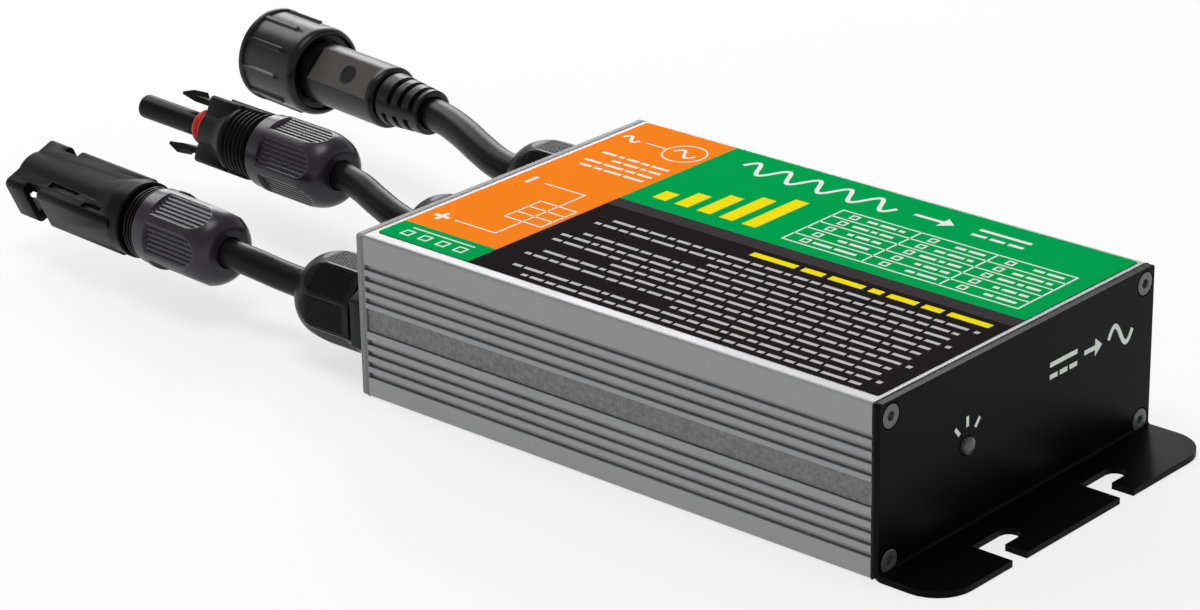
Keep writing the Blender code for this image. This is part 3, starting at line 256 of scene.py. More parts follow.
# A finish: two colours that mottle into each other, a range of roughness, the scale of its grain
# and its depth in millimetres, the shine of its surface, then metal, grain's stretch and lacquer
EVEN = (1.0, 1.0, 1.0)
ALONG_CASE = (0.03, 1.0, 1.0)
Finish = namedtuple(
    "Finish", "colour second gloss grain relief specular metallic stretch coat",
    defaults=(0.0, EVEN, 0.0),
)
FINISHES = {
    "aluminium": Finish(
        grey(146), grey(160), (0.44, 0.6), 900, 0.012, 0.5, metallic=1.0, stretch=ALONG_CASE
    ),
    "black_sheet": Finish(grey(6), grey(10), (0.32, 0.44), 2600, 0.01, 0.05),
    "grey_sheet": Finish(grey(122), grey(134), (0.46, 0.6), 2600, 0.012, 0.3),
    "screw_steel": Finish(grey(86), grey(104), (0.34, 0.48), 1800, 0.008, 0.5, metallic=0.4),
    "rubber": Finish(grey(24), grey(34), (0.7, 0.85), 1500, 0.02, 0.2),
    "lamp_lens": Finish(grey(66), grey(82), (0.14, 0.22), 400, 0.004, 0.35, coat=0.3),
    "gland_nylon": Finish(grey(12), grey(20), (0.28, 0.42), 1400, 0.012, 0.15),
    "cable_jacket": Finish(
        grey(12), grey(19), (0.28, 0.4), 900, 0.01, 0.15, stretch=(0.08, 1.0, 1.0)
    ),
    "connector_plastic": Finish(grey(9), grey(15), (0.32, 0.44), 1500, 0.014, 0.08),
    "ring_plastic": Finish(grey(10), grey(17), (0.28, 0.4), 1500, 0.014, 0.3),
    "nut_plastic": Finish(srgb(33, 29, 35), srgb(41, 37, 43), (0.25, 0.34), 1800, 0.01, 0.38),
    # The mains plug's flat: a rougher matte plastic, with a paler colour that is a painted sheen
    # standing in for the light its face catches
    "worn_plastic": Finish(srgb(66, 62, 61), srgb(86, 81, 79), (0.5, 0.66), 1100, 0.03, 0.3),
    "red_rubber": Finish(srgb(188, 30, 24), srgb(206, 46, 36), (0.34, 0.46), 900, 0.01, 0.35),
    "contact_metal": Finish(
        srgb(196, 190, 180), srgb(214, 208, 198), (0.2, 0.34), 900, 0.006, 0.5, metallic=1.0
    ),
    "board_laminate": Finish(srgb(18, 84, 48), srgb(24, 98, 58), (0.4, 0.55), 600, 0.01, 0.4),
    "ferrite": Finish(grey(58), grey(72), (0.6, 0.8), 1200, 0.03, 0.3),
    "capacitor_sleeve": Finish(srgb(34, 44, 88), srgb(42, 54, 102), (0.3, 0.42), 700, 0.008, 0.4),
    "choke_winding": Finish(
        srgb(170, 98, 48), srgb(196, 120, 62), (0.26, 0.4), 500, 0.04, 0.5, metallic=0.7,
        stretch=(1.0, 1.0, 4.0),
    ),
    "relay_case": Finish(srgb(40, 68, 138), srgb(50, 80, 152), (0.36, 0.5), 900, 0.01, 0.4),
}
INKS = ("green", "orange", "black", "grey", "white", "pale", "yellow")
INK_SHIFT = 1.06  # how much paler an ink is where it lies thin
MOTTLE_SCALE = 60.0
GRAIN_SHARE = 0.55  # of the mix of the two colours; mottle takes the rest
SCUFF_SHARE = 0.3  # added to that mix for the roughness
BUMP_STRENGTH = 0.6

BAND_MIDDLE = 19.1  # height of the plain recessed band along the case's near side
BAND_LIFT = 1.2  # how much higher it is on the far side
BAND_REACH = 2.7
BAND_DARKENING = 0.44
BAND_SPECKLE = 950.0


def ink_finish(name):
    """The finish of one of the label's inks, in the colour that the settings give."""
    colour = tuple(getattr(bpy.context.scene.inverter_label, name))
    second = tuple(min(level * INK_SHIFT, 1.0) for level in colour)
    return Finish(colour, second, (0.42, 0.54), 700, 0.004, 0.0)


def feed(tree, node, inputs):
    """Give each of a node's inputs its value, or a link from the output given for it."""
    for name, value in inputs.items():
        if isinstance(value, bpy.types.NodeSocket):
            tree.links.new(value, node.inputs[name])
        else:
            node.inputs[name].default_value = value


def add_node(tree, kind, inputs=None, **settings):
    """Add a shader node with its settings and inputs."""
    node = tree.nodes.new("ShaderNode" + kind)
    for name, value in settings.items():
        setattr(node, name, value)
    feed(tree, node, inputs or {})
    return node


def worked_out(tree, operation, *values):
    """The result of a sum on numbers and outputs."""
    return add_node(tree, "Math", dict(enumerate(values)), operation=operation).outputs["Value"]


def remapped(tree, value, low, high, to_low=0.0, to_high=1.0):
    """An output mapped from one range to another and held inside it."""
    limits = {"From Min": low, "From Max": high, "To Min": to_low, "To Max": to_high}
    return add_node(tree, "MapRange", {"Value": value, **limits}).outputs["Result"]


def blended(tree, factor, first, second, blend_type="MIX"):
    """The mix of two colours."""
    inputs = {"Factor": factor, "A": first, "B": second}
    return add_node(tree, "Mix", inputs, data_type="RGBA", blend_type=blend_type).outputs["Result"]


def opaque(colour):
    """A colour as a socket takes it."""
    return (*colour, 1.0)


def shader_group(name, inputs, outputs, build):
    """The node group of this name, built on first use from the piece's own coordinates."""
    group = bpy.data.node_groups.get(name)
    if group is None:
        group = bpy.data.node_groups.new(name, "ShaderNodeTree")
        for way, sockets in (("INPUT", inputs), ("OUTPUT", outputs)):
            for title, kind in sockets.items():
                group.interface.new_socket(
                    name=title, in_out=way, socket_type="NodeSocket" + kind
                )
        inlet = group.nodes.new("NodeGroupInput")
        outlet = group.nodes.new("NodeGroupOutput")
        where = add_node(group, "TexCoord").outputs["Object"]
        feed(group, outlet, build(group, where, inlet.outputs))
    return group


def build_grain(group, where, inlet):
    """Fine surface grain, stretched along chosen axes."""
    stretched = add_node(
        group, "VectorMath", {0: where, 1: inlet["Stretch"]}, operation="MULTIPLY"
    )
    noise = add_node(group, "TexNoise", {
        "Vector": stretched.outputs["Vector"], "Scale": inlet["Scale"], "Detail": 4.0,
        "Roughness": 0.6,
    })
    return {"Grain": noise.outputs["Fac"]}


def build_mottle(group, where, inlet):
    """Slow changes of shade from handling, a few millimetres across, with rare scuffs."""
    cloud = add_node(
        group, "TexNoise", {"Vector": where, "Scale": inlet["Scale"], "Detail": 3.0}
    )
    drawn_out = add_node(group, "Mapping", {
        "Vector": where, "Rotation": (0.3, 0.5, 0.7), "Scale": (18.0, 420.0, 420.0),
    })
    lines = add_node(
        group, "TexNoise", {"Vector": drawn_out.outputs["Vector"], "Scale": 3.0, "Detail": 2.0}
    )
    return {
        "Mottle": remapped(group, cloud.outputs["Fac"], 0.3, 0.7),
        "Scuffs": remapped(group, lines.outputs["Fac"], 0.66, 0.74),
    }


def add_grain(tree, scale, stretch):
    """Place the grain in a material."""
    sockets = {"Scale": "Float", "Stretch": "Vector"}
    group = shader_group("fine_grain", sockets, {"Grain": "Float"}, build_grain)
    values = {"Scale": scale, "Stretch": stretch}
    return add_node(tree, "Group", values, node_tree=group).outputs["Grain"]


def add_mottle(tree):
    """Place the mottle in a material."""
    sockets = {"Mottle": "Float", "Scuffs": "Float"}
    group = shader_group("handling_mottle", {"Scale": "Float"}, sockets, build_mottle)
    return add_node(tree, "Group", {"Scale": MOTTLE_SCALE}, node_tree=group).outputs


def finish(name):
    """The material of a finish: mottled colour, gloss that follows grain and scuffs, and relief."""
    title = name + "_finish"
    if title in bpy.data.materials:
        return bpy.data.materials[title]
    look = ink_finish(name) if name in INKS else FINISHES[name]
    material = bpy.data.materials.new(title)
    material.use_nodes = True
    tree = material.node_tree
    grain = add_grain(tree, look.grain, look.stretch)
    mottle = add_mottle(tree)
    slow = worked_out(tree, "MULTIPLY", mottle["Mottle"], 1.0 - GRAIN_SHARE)
    mix = worked_out(tree, "MULTIPLY_ADD", grain, GRAIN_SHARE, slow)
    colour = blended(tree, mix, opaque(look.colour), opaque(look.second))
    if name == "aluminium":
        colour = with_dark_band(tree, colour)
    worn = worked_out(tree, "MULTIPLY_ADD", mottle["Scuffs"], SCUFF_SHARE, mix)
    relief = {"Strength": BUMP_STRENGTH, "Distance": look.relief * MM, "Height": grain}
    feed(tree, tree.nodes["Principled BSDF"], {
        "Base Color": colour,
        "Roughness": remapped(tree, worn, 0.0, 1.0 + SCUFF_SHARE, *look.gloss),
        "Metallic": look.metallic,
        "Specular IOR Level": look.specular,
        "Coat Weight": look.coat,
        "Normal": add_node(tree, "Bump", relief).outputs["Normal"],
    })
    return material


def with_dark_band(tree, colour):
    """The aluminium's colour, darkened by a coarse speckle on the recessed band of either side."""
    where = add_node(tree, "TexCoord").outputs["Object"]
    axes = add_node(tree, "SeparateXYZ", {"Vector": where}).outputs
    far = worked_out(tree, "GREATER_THAN", axes["Y"], 0.0)
    height = worked_out(tree, "MULTIPLY_ADD", far, -BAND_LIFT * MM, axes["Z"])
    band = worked_out(tree, "COMPARE", height, BAND_MIDDLE * MM, BAND_REACH * MM)
    depth = remapped(tree, add_grain(tree, BAND_SPECKLE, EVEN), 0.3, 0.7, 0.5)
    amount = worked_out(tree, "MULTIPLY", depth, band)
    return blended(tree, amount, colour, opaque((BAND_DARKENING,) * 3), "MULTIPLY")


def cable_size(lead):
    """Diameter of a lead's cable."""
    settings = bpy.context.scene.inverter_lead
    return settings.ac_cable if lead == "ac" else settings.dc_cable


def lead_matrix(lead):
    """From a connector's own frame, +Z towards its mating face, to the case's frame."""
    along = Vector(LEADS[lead].heading).normalized()
    across = Vector((0, 0, 1)).cross(along).normalized()
    turn = Matrix((across, along.cross(across), along)).transposed()
    turn @= Matrix.Rotation(math.radians(LEADS[lead].roll), 3, "Z")
    return Matrix.Translation(LEADS[lead].route[-1]) @ turn.to_4x4()


def gland_matrix(lead):
    """From a gland's own frame, +Z out of the rear plate, to the case's frame."""
    _, across, height = LEADS[lead].route[0]
    turn = Matrix(((0, 0, -1), (-1, 0, 0), (0, 1, 0)))
    return Matrix.Translation((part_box("rear_plate")[0].x, across, height)) @ turn.to_4x4()


def new_object(name, bm):
    """An object at the origin that takes over a bmesh."""
    mesh = bpy.data.meshes.new(name)
    bm.to_mesh(mesh)
    bm.free()
    item = bpy.data.objects.new(name, mesh)
    bpy.context.scene.collection.objects.link(item)
    return item


def turn_outwards(bm):
    """Point every face of a closed shape outwards."""
    bmesh.ops.recalc_face_normals(bm, faces=bm.faces[:])


def close_seams(bm):
    """Merge doubled points, then point every face outwards."""
    bmesh.ops.remove_doubles(bm, verts=bm.verts[:], dist=SAME_POINT)
    turn_outwards(bm)


def add_piece(name, bm, slot, replaced=(), finishes=(), body=BODY, place=None, sharp=35.0):
    """Turn a bmesh into a shaded piece that rides on a body and stands for its CAD nodes."""
    if place is not None:
        bmesh.ops.transform(bm, matrix=place, verts=bm.verts[:])
    close_seams(bm)
    piece = new_object(name, bm)
    piece.data.shade_smooth()
    piece.data.set_sharp_from_angle(angle=math.radians(sharp))
    for label in finishes or (slot,):
        piece.data.materials.append(finish(label))
    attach(piece, body)
    if replaced:
        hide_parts(*replaced)


def spun(profile, steps, closed=True):
    """Spin a profile of (height, radius) points once round the Z axis."""
    bm = bmesh.new()
    points = [bm.verts.new((radius * MM, 0, height * MM)) for height, radius in profile]
    edges = [bm.edges.new(pair) for pair in zip(points, points[1:])]
    if closed:
        edges.append(bm.edges.new((points[-1], points[0])))
    bmesh.ops.spin(
        bm, geom=points + edges, cent=(0, 0, 0), axis=(0, 0, 1), angle=FULL_TURN, steps=steps,
        use_merge=True,
    )
    close_seams(bm)
    return bm


def reshape(bm, rule):
    """Move a turned shape's points to the radius that a rule gives for turn, height and radius."""
    for vert in bm.verts:
        radius = math.hypot(vert.co.x, vert.co.y)
        if radius > 0:
            turn = math.atan2(vert.co.y, vert.co.x)
            share = rule(turn, vert.co.z / MM, radius / MM) * MM / radius
            vert.co.x *= share
            vert.co.y *= share


def turn_from(turn, centre, sector=FULL_TURN):
    """How far a turn lies from the nearest of the places that repeat every sector."""
    return (turn - centre + sector / 2) % sector - sector / 2


def plateau(value, low, high, ramp):
    """One between two limits and nothing outside them, with a short ramp inside each."""
    return min(max(min(value - low, high - value) / ramp, 0.0), 1.0)


def even_rings(low, high, spacing):
    """Heights at even spacing from one height up to another."""
    count = round((high - low) / spacing)
    return [low + (high - low) * step / count for step in range(count + 1)]


def wall(radius, low, high, spacing):
    """Profile points up a straight wall."""
    return [(height, radius) for height in even_rings(low, high, spacing)]


def quarter_round(start, end, steps):
    """Profile points on a quarter of an ellipse that leaves the start sideways and ends level."""
    rise, reach = end[0] - start[0], end[1] - start[1]
    points = []
    for step in range(steps + 1):
        angle = RIGHT_ANGLE * step / steps
        points.append((end[0] - rise * math.cos(angle), start[1] + reach * math.sin(angle)))
    return points


def round_edges(bm, edges, width, segments):
    """Round these edges."""
    bmesh.ops.bevel(
        bm, geom=edges, offset=width * MM, segments=segments, affect="EDGES", profile=0.5,
        material=-1, clamp_overlap=True,
    )


def break_edges(bm, width, segments=2):
    """Round every edge whose faces meet at an angle."""
    least = math.radians(35)
    sharp = [
        edge for edge in bm.edges if edge.is_manifold and edge.calc_face_angle(0.0) > least
    ]
    round_edges(bm, sharp, width, segments)


def corner_edges(bm):
    """Edges along Z at the corners of an upright block."""
    return [
        edge for edge in bm.edges
        if abs((edge.verts[0].co - edge.verts[1].co).normalized().z) > 0.99
        and edge.calc_face_angle(0.0) > math.radians(45)
    ]


def raise_faces(bm, height):
    """Pull flat faces up into blocks."""
    grown = bmesh.ops.extrude_face_region(bm, geom=bm.faces[:])
    raised = [item for item in grown["geom"] if isinstance(item, bmesh.types.BMVert)]
    bmesh.ops.translate(bm, verts=raised, vec=(0, 0, height))


def add_bmesh(target, source):
    """Join one bmesh to another as a separate shell."""
    mesh = bpy.data.meshes.new("joined")
    source.to_mesh(mesh)
    source.free()
    target.from_mesh(mesh)
    bpy.data.meshes.remove(mesh)


def add_thread(target, crest, depth, pitch, low, high):
    """A helical ridge round the Z axis between two heights."""
    bm = bmesh.new()
    corners = [(crest - depth, -0.46), (crest, -0.12), (crest, 0.12), (crest - depth, 0.46)]
    face = bm.faces.new([
        bm.verts.new((reach * MM, 0, (low + pitch * (0.5 + share)) * MM))
        for reach, share in corners
    ])
    turns = int((high - low) / pitch - 1)
    bmesh.ops.spin(
        bm, geom=[face], cent=(0, 0, 0), axis=(0, 0, 1), angle=FULL_TURN * turns,
        steps=COARSE * turns, dvec=(0, 0, pitch * MM / COARSE),
    )
    turn_outwards(bm)
    add_bmesh(target, bm)


def block(low, high):
    """A box between two corners."""
    middle = (Vector(low) + Vector(high)) / 2 * MM
    size = (Vector(high) - Vector(low)) * MM
    bm = bmesh.new()
    place = Matrix.Translation(middle) @ Matrix.Diagonal((*size, 1.0))
    bmesh.ops.create_cube(bm, size=1.0, matrix=place)
    return bm


def side_block(facing, inner, outer, depth, low, high):
    """A box on one side of a connector's axis: its reach across, its depth and its heights."""
    near, far = sorted((facing * inner, facing * outer))
    return block((near, depth[0], low), (far, depth[1], high))


def add_rounding(item, width):
    """Round an object's sharp edges with a modifier."""
    rounding = item.modifiers.new("edge_break", "BEVEL")
    rounding.width = width
    rounding.segments = 2
    rounding.limit_method = "ANGLE"
    rounding.angle_limit = math.radians(40)


def carved(base, changes, break_width):
    """The shape after joining others to it or cutting them away in turn, with its edges rounded."""
    holder = new_object("working_shape", base)
    tools = []
    for operation, shape in changes:
        turn_outwards(shape)
        tools.append(new_object("working_shape", shape))
        change = holder.modifiers.new("change", "BOOLEAN")
        change.operation = operation
        change.solver = "EXACT"
        change.object = tools[-1]
    add_rounding(holder, break_width * MM)
    graph = bpy.context.evaluated_depsgraph_get()
    made = bpy.data.meshes.new_from_object(holder.evaluated_get(graph))
    bm = bmesh.new()
    bm.from_mesh(made)
    for item in (holder, *tools):
        mesh = item.data
        bpy.data.objects.remove(item, do_unlink=True)
        bpy.data.meshes.remove(mesh)
    bpy.data.meshes.remove(made)
    return bm


class INVERTER_OT_camera(bpy.types.Operator):
    """Set the camera at the picture's viewing angle"""

    bl_idname = "inverter.camera"
    bl_label = "Camera"

    def execute(self, context):
        stage = context.scene.inverter_stage
        place, target = Vector(stage.camera_place), Vector(stage.camera_target)
        forward = (target - place).normalized()
        right = forward.cross(Vector((0, 0, 1))).normalized()
        up = right.cross(forward)
        roll = stage.camera_roll
        level = right * math.cos(roll) + up * math.sin(roll)
        upright = up * math.cos(roll) - right * math.sin(roll)
        data = bpy.data.cameras.new("picture_camera")
        data.lens = stage.lens
        data.sensor_width = 36.0
        data.sensor_fit = "HORIZONTAL"
        data.clip_start = 0.01
        data.clip_end = 50.0
        camera = bpy.data.objects.new("picture_camera", data)
        turn = Matrix((level, upright, -forward)).transposed()
        camera.matrix_world = Matrix.Translation(place) @ turn.to_4x4()
        context.scene.collection.objects.link(camera)
        context.scene.camera = camera
        return {"FINISHED"}


class INVERTER_OT_leads(bpy.types.Operator):
    """Make the three cables as curves along their routes"""

    bl_idname = "inverter.leads"
    bl_label = "Leads"

    def execute(self, context):
        for name, lead in LEADS.items():
            self.make_cable(context, name, lead)
        return {"FINISHED"}

    def make_cable(self, context, name, lead):
        curve = bpy.data.curves.new(name + "_jacket", "CURVE")
        curve.dimensions = "3D"
        curve.bevel_depth = cable_size(name) / 2
        curve.bevel_resolution = 10
        curve.resolution_u = 10
        curve.use_fill_caps = True
        stops = self.stops(lead)
        spline = curve.splines.new("BEZIER")
        spline.bezier_points.add(len(stops) - 1)
        for knot, (point, reach) in zip(spline.bezier_points, stops):
            knot.co = point
            knot.handle_left = point - reach
            knot.handle_right = point + reach
        cable = bpy.data.objects.new(name + "_jacket", curve)
        curve.materials.append(finish("cable_jacket"))
        context.scene.collection.objects.link(cable)
        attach(cable, BODY)
        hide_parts(name + "_cable")

    def stops(self, lead):
        """The curve's points, each with the reach of its handles."""
        points = [Vector(point) for point in lead.route]
        last = len(points) - 1
        stops = []
        for index, point in enumerate(points):
            step = points[min(index + 1, last)] - points[max(index - 1, 0)]
            stops.append((point, step / (6 if 0 < index < last else 3)))
        end = points[last] + Vector(lead.heading).normalized() * lead.inside
        return stops + [(end, (end - points[last]) / 3)]


class INVERTER_OT_case(bpy.types.Operator):
    """Finish the aluminium halves, the plates, and every solid that keeps its shape"""

    bl_idname = "inverter.case"
    bl_label = "Case"

    def execute(self, context):
        case = context.scene.inverter_case
        for part in frame["record"]["subparts"]:
            label = {"label_film": "green"}.get(part["material_slot"], part["material_slot"])
            if part["node"] == "rear_gasket":
                label = "grey_sheet"
            materials = frame["nodes"][part["node"]].data.materials
            materials.clear()
            materials.append(finish(label))
        shells = ("upper_shell", "lower_shell")
        sheets = ("front_plate", "rear_plate", "dc_negative_latch_upper", "dc_negative_latch_lower")
        for name in shells + sheets:
            node = frame["nodes"][name]
            weld = node.modifiers.new("weld", "WELD")
            weld.merge_threshold = WELD_REACH
            add_rounding(node, case.edge_break if name in shells else case.sheet_break)
        return {"FINISHED"}


# Printed marks: flat shapes on the label's plane, given along the case and across it
WAVE_STEPS = 16  # points on one wave
RING_STEPS = 40
BAR_LENGTHS = (5.2, 2.4, 3.6, 1.6, 4.4, 2.8, 6.0)  # in heights of a row's bars
BAR_GAP = 0.8


def add_line(bm, points, width, closed=False):
    """A printed line of even width through points."""
    path = [Vector((x, y, 0.0)) * MM for x, y in points]
    count = len(path)
    sides = []
    for index, at in enumerate(path):
        after = path[(index + 1) % count] if closed or index < count - 1 else None
        before = path[index - 1] if closed or index else None
        leaving = (after - at).normalized() if after else (at - before).normalized()
        arriving = (at - before).normalized() if before else leaving
        along = (leaving + arriving).normalized()
        reach = width / 2 / max(along.dot(leaving), 0.5)
        across = Vector((-along.y, along.x, 0.0)) * reach
        sides.append((at + across, at - across))
    rows = [[bm.verts.new(side) for side in row] for row in zip(*sides)]
    edges = []
    for row in rows:
        edges += [bm.edges.new(pair) for pair in zip(row, row[1:])]
        if closed:
            edges.append(bm.edges.new((row[-1], row[0])))
    bmesh.ops.bridge_loops(bm, edges=edges)


def add_frame(bm, low, high, width):
    """A ruled rectangle between two corners."""
    add_line(bm, [low, (high[0], low[1]), high, (low[0], high[1])], width, True)


def add_wave(bm, start, cycles, wavelength, height, width):
    """A sine wave that runs along the case from a start."""
    points = [
        (start[0] + wavelength * step / WAVE_STEPS,
         start[1] + height * math.sin(FULL_TURN * step / WAVE_STEPS))
        for step in range(cycles * WAVE_STEPS + 1)
    ]
    add_line(bm, points, width)


def add_arrow(bm, start, reach, head, width):
    """An arrow that points along the first axis."""
    half, wing = width / 2 / MM, 0.8 * head
    tail, neck, tip = start[0], start[0] + reach - head, start[0] + reach
    outline = [
        (tail, -half), (neck, -half), (neck, -wing), (tip, 0), (neck, wing), (neck, half),
        (tail, half),
    ]
    bm.faces.new([bm.verts.new((x * MM, (start[1] + y) * MM, 0)) for x, y in outline])


def add_steady_sign(bm, start, gap, dash, pitch, width):
    """The sign for steady current: a line over three dashes."""
    along, level = start
    add_line(bm, [(along, level + gap), (along + 2 * pitch + dash, level + gap)], width)
    for step in range(3):
        begin = along + pitch * step
        add_line(bm, [(begin, level - gap), (begin + dash, level - gap)], width)


def add_bar(bm, low, high):
    """A plain rectangle between two corners."""
    middle = ((low[0] + high[0]) / 2 * MM, (low[1] + high[1]) / 2 * MM, 0)
    size = ((high[0] - low[0]) * MM, (high[1] - low[1]) * MM, 1, 1)
    place = Matrix.Translation(middle) @ Matrix.Diagonal(size)
    bmesh.ops.create_grid(bm, x_segments=1, y_segments=1, size=0.5, matrix=place)


def add_row(bm, start, end, level, height, first):
    """A row of plain bars of unlike lengths that runs back along the case from a start."""
    step = first
    while True:
        reach = BAR_LENGTHS[step % len(BAR_LENGTHS)] * height
        if start - reach < end:
            break
        add_bar(bm, (start - reach, level - height / 2), (start, level + height / 2))
        start -= reach + BAR_GAP * height
        step += 1


class INVERTER_OT_label(bpy.types.Operator):
    """Make the printed film on the top, with its colour fields"""

    bl_idname = "inverter.label"
    bl_label = "Label"

    def execute(self, context):
        label = context.scene.inverter_label
        low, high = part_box("top_label")
        bm = block(low / MM, (high.x / MM, high.y / MM, (high.z - label.ink_height) / MM))
        round_edges(bm, corner_edges(bm), 0.8, 4)
        along, across = (1, 0, 0), (0, 1, 0)
        cuts = (
            ((label.column, 0, 0), along), ((0, label.lead_field, 0), across),
            ((0, label.band_low, 0), across), ((0, label.band_high, 0), across),
        )
        for place, normal in cuts:
            bmesh.ops.bisect_plane(
                bm, geom=bm.verts[:] + bm.edges[:] + bm.faces[:], plane_co=place, plane_no=normal
            )
        fields = ("green", "orange", "black", "grey")
        for face in bm.faces:
            face.material_index = fields.index(self.field(label, face.calc_center_median()))
        add_piece("label_fields", bm, "label_film", ["top_label"], fields)
        return {"FINISHED"}

    def field(self, label, at):
        if at.x < label.column:
            return "orange" if at.y > label.lead_field else "green"
        if at.y > label.band_high:
            return "green"
        return "grey" if at.y > label.band_low else "black"


class INVERTER_OT_signs(bpy.types.Operator):
    """Print plain signs and ruled lines on the label and beside the status lamp"""

    bl_idname = "inverter.signs"
    bl_label = "Signs"

    def execute(self, context):
        label = context.scene.inverter_label
        film = Matrix.Translation((0, 0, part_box("top_label")[1].z - label.ink_height))
        panel = Matrix.Translation((-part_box("rear_plate")[0].x, 0, 0))
        panel @= Matrix(((0, 0, 1), (1, 0, 0), (0, 1, 0))).to_4x4()
        signs, rows, bars, lamp_signs = (bmesh.new() for _ in range(4))
        self.draw_lead_column(signs, label.line, label.bold)
        self.draw_ratings(signs, label.line, label.bold)
        self.draw_rows(rows)
        self.draw_bars(bars, label.bold)
        self.draw_panel(lamp_signs, label.bold)
        prints = (
            ("label_signs", signs, "white", film), ("label_rows", rows, "pale", film),
            ("label_bars", bars, "yellow", film), ("panel_signs", lamp_signs, "white", panel),
        )
        for name, bm, colour, place in prints:
            raise_faces(bm, label.ink_height)
            add_piece(name, bm, "label_film", finishes=[colour], place=place)
        return {"FINISHED"}

    def draw_lead_column(self, bm, line, bold):
        """Plus, minus and wave at the three leads, each wired to a plain symbol."""
        rear, column = -66.0, -52.0
        plus, minus, mains = (-29.0, 1.0, 36.0)
        arm, half = 2.2, bold / 2 / MM
        add_line(bm, [(rear - arm, plus), (rear + arm, plus)], bold)
        add_line(bm, [(rear, plus - arm), (rear, plus - half)], bold)
        add_line(bm, [(rear, plus + half), (rear, plus + arm)], bold)
        add_line(bm, [(rear, minus - arm), (rear, minus + arm)], bold)
        add_wave(bm, (rear - 2.6, mains), 1, 5.2, 1.5, bold * 0.8)
        middle, centre = (plus + minus) / 2, column + 2.5
        left, right = column - 3.0, column + 8.0
        for lead, end in ((plus, middle - 6.4), (minus, middle + 6.4)):
            add_line(bm, [(rear + 4.0, lead), (centre, lead), (centre, end)], line)
        add_frame(bm, (left, middle - 6), (right, middle + 6), line)
        for row in (-2, 2):
            add_line(bm, [(left, middle + row), (right, middle + row)], line)
        add_line(bm, [(centre, middle - 6), (centre, middle + 6)], line)
        add_line(bm, [(rear + 4.4, mains), (column - 3.4, mains)], line)
        turns = [FULL_TURN * step / RING_STEPS for step in range(RING_STEPS)]
        ring = [(centre + 5.4 * math.cos(turn), mains + 5.4 * math.sin(turn)) for turn in turns]
        add_line(bm, ring, line, True)
        add_wave(bm, (column - 0.8, mains), 1, 6.6, 1.9, bold * 0.7)
        for row in range(4):
            add_row(bm, column + 7.0, rear, mains - 11.0 - 3.0 * row, 1.0, row * 2)
        for index in range(4):
            low = (rear + 5.4 * index, -42.4)
            add_frame(bm, low, (low[0] + 2.4, low[1] + 2.4), line)
        add_line(bm, [(rear, -38.2), (-47.0, -38.2)], line)

    def draw_ratings(self, bm, line, bold):
        """A long wave, an arrow and a steady-current sign over a ruled table of boxes and bars."""
        level = 39.0
        add_wave(bm, (-34.0, level), 5, 9.0, 3.2, bold)
        add_arrow(bm, (16.0, level), 11.0, 3.2, bold)
        add_steady_sign(bm, (33.0, level), 1.6, 4.0, 5.0, bold)
        low, high, rows = (2.0, 9.0), (66.0, 31.0), 5
        pitch = (high[1] - low[1]) / rows
        add_frame(bm, low, high, line)
        for row in range(1, rows):
            across = low[1] + pitch * row
            add_line(bm, [(low[0], across), (high[0], across)], line)
        for column in (24.0, 45.0):
            add_line(bm, [(column, low[1]), (column, high[1])], line)
        for row in range(rows):
            middle = low[1] + pitch * (row + 0.5)
            for column in (6.0, 28.0, 49.0):
                add_frame(bm, (column, middle - 0.9), (column + 1.8, middle + 0.9), line)
                add_row(bm, column + 15.0, column + 3.0, middle, 1.0, row + round(column))

    def draw_rows(self, bm):
        """Blocks of plain rows behind bullets on the near field."""
        ends = (-37.0, -38.0, -6.0, -36.0, -38.0, -38.0, -20.0, -37.0, -38.0, 8.0, -38.0, -30.0)
        bullets = (0, 3, 7, 10)
        level, pitch = -6.8, 3.3
        for row, end in enumerate(ends):
            if row in bullets:
                add_bar(bm, (66.4, level - 0.6), (67.6, level + 0.6))
            add_row(bm, 64.8, end, level, 1.05, row * 3)
            level -= pitch

    def draw_bars(self, bm, bold):
        """Bold bars that grow along the case, and a heading row under the band."""
        for bar in range(5):
            along = -35.0 + 6.6 * bar
            add_line(bm, [(along, 10.0), (along, 15.0 + 3.6 * bar)], bold * 3.6)
        add_row(bm, 67.4, -4.0, -2.4, 2.1, 0)

    def draw_panel(self, bm, bold):
        """Rays over the status lamp, and current signs at the panel's far end."""
        low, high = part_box("status_led")
        across, height = (low.y + high.y) / 2 / MM, (low.z + high.z) / 2 / MM
        for degrees in (50, 90, 130):
            aim = (math.cos(math.radians(degrees)), math.sin(math.radians(degrees)))
            ray = [(across + aim[0] * reach, height + aim[1] * reach) for reach in (4.2, 6.6)]
            add_line(bm, ray, bold * 0.8)
        level = 27.0
        add_steady_sign(bm, (10.0, level), 1.4, 2.8, 3.6, bold)
        add_arrow(bm, (22.6, level), 6.6, 2.6, bold)
        add_wave(bm, (31.6, level), 1, 9.0, 2.6, bold)


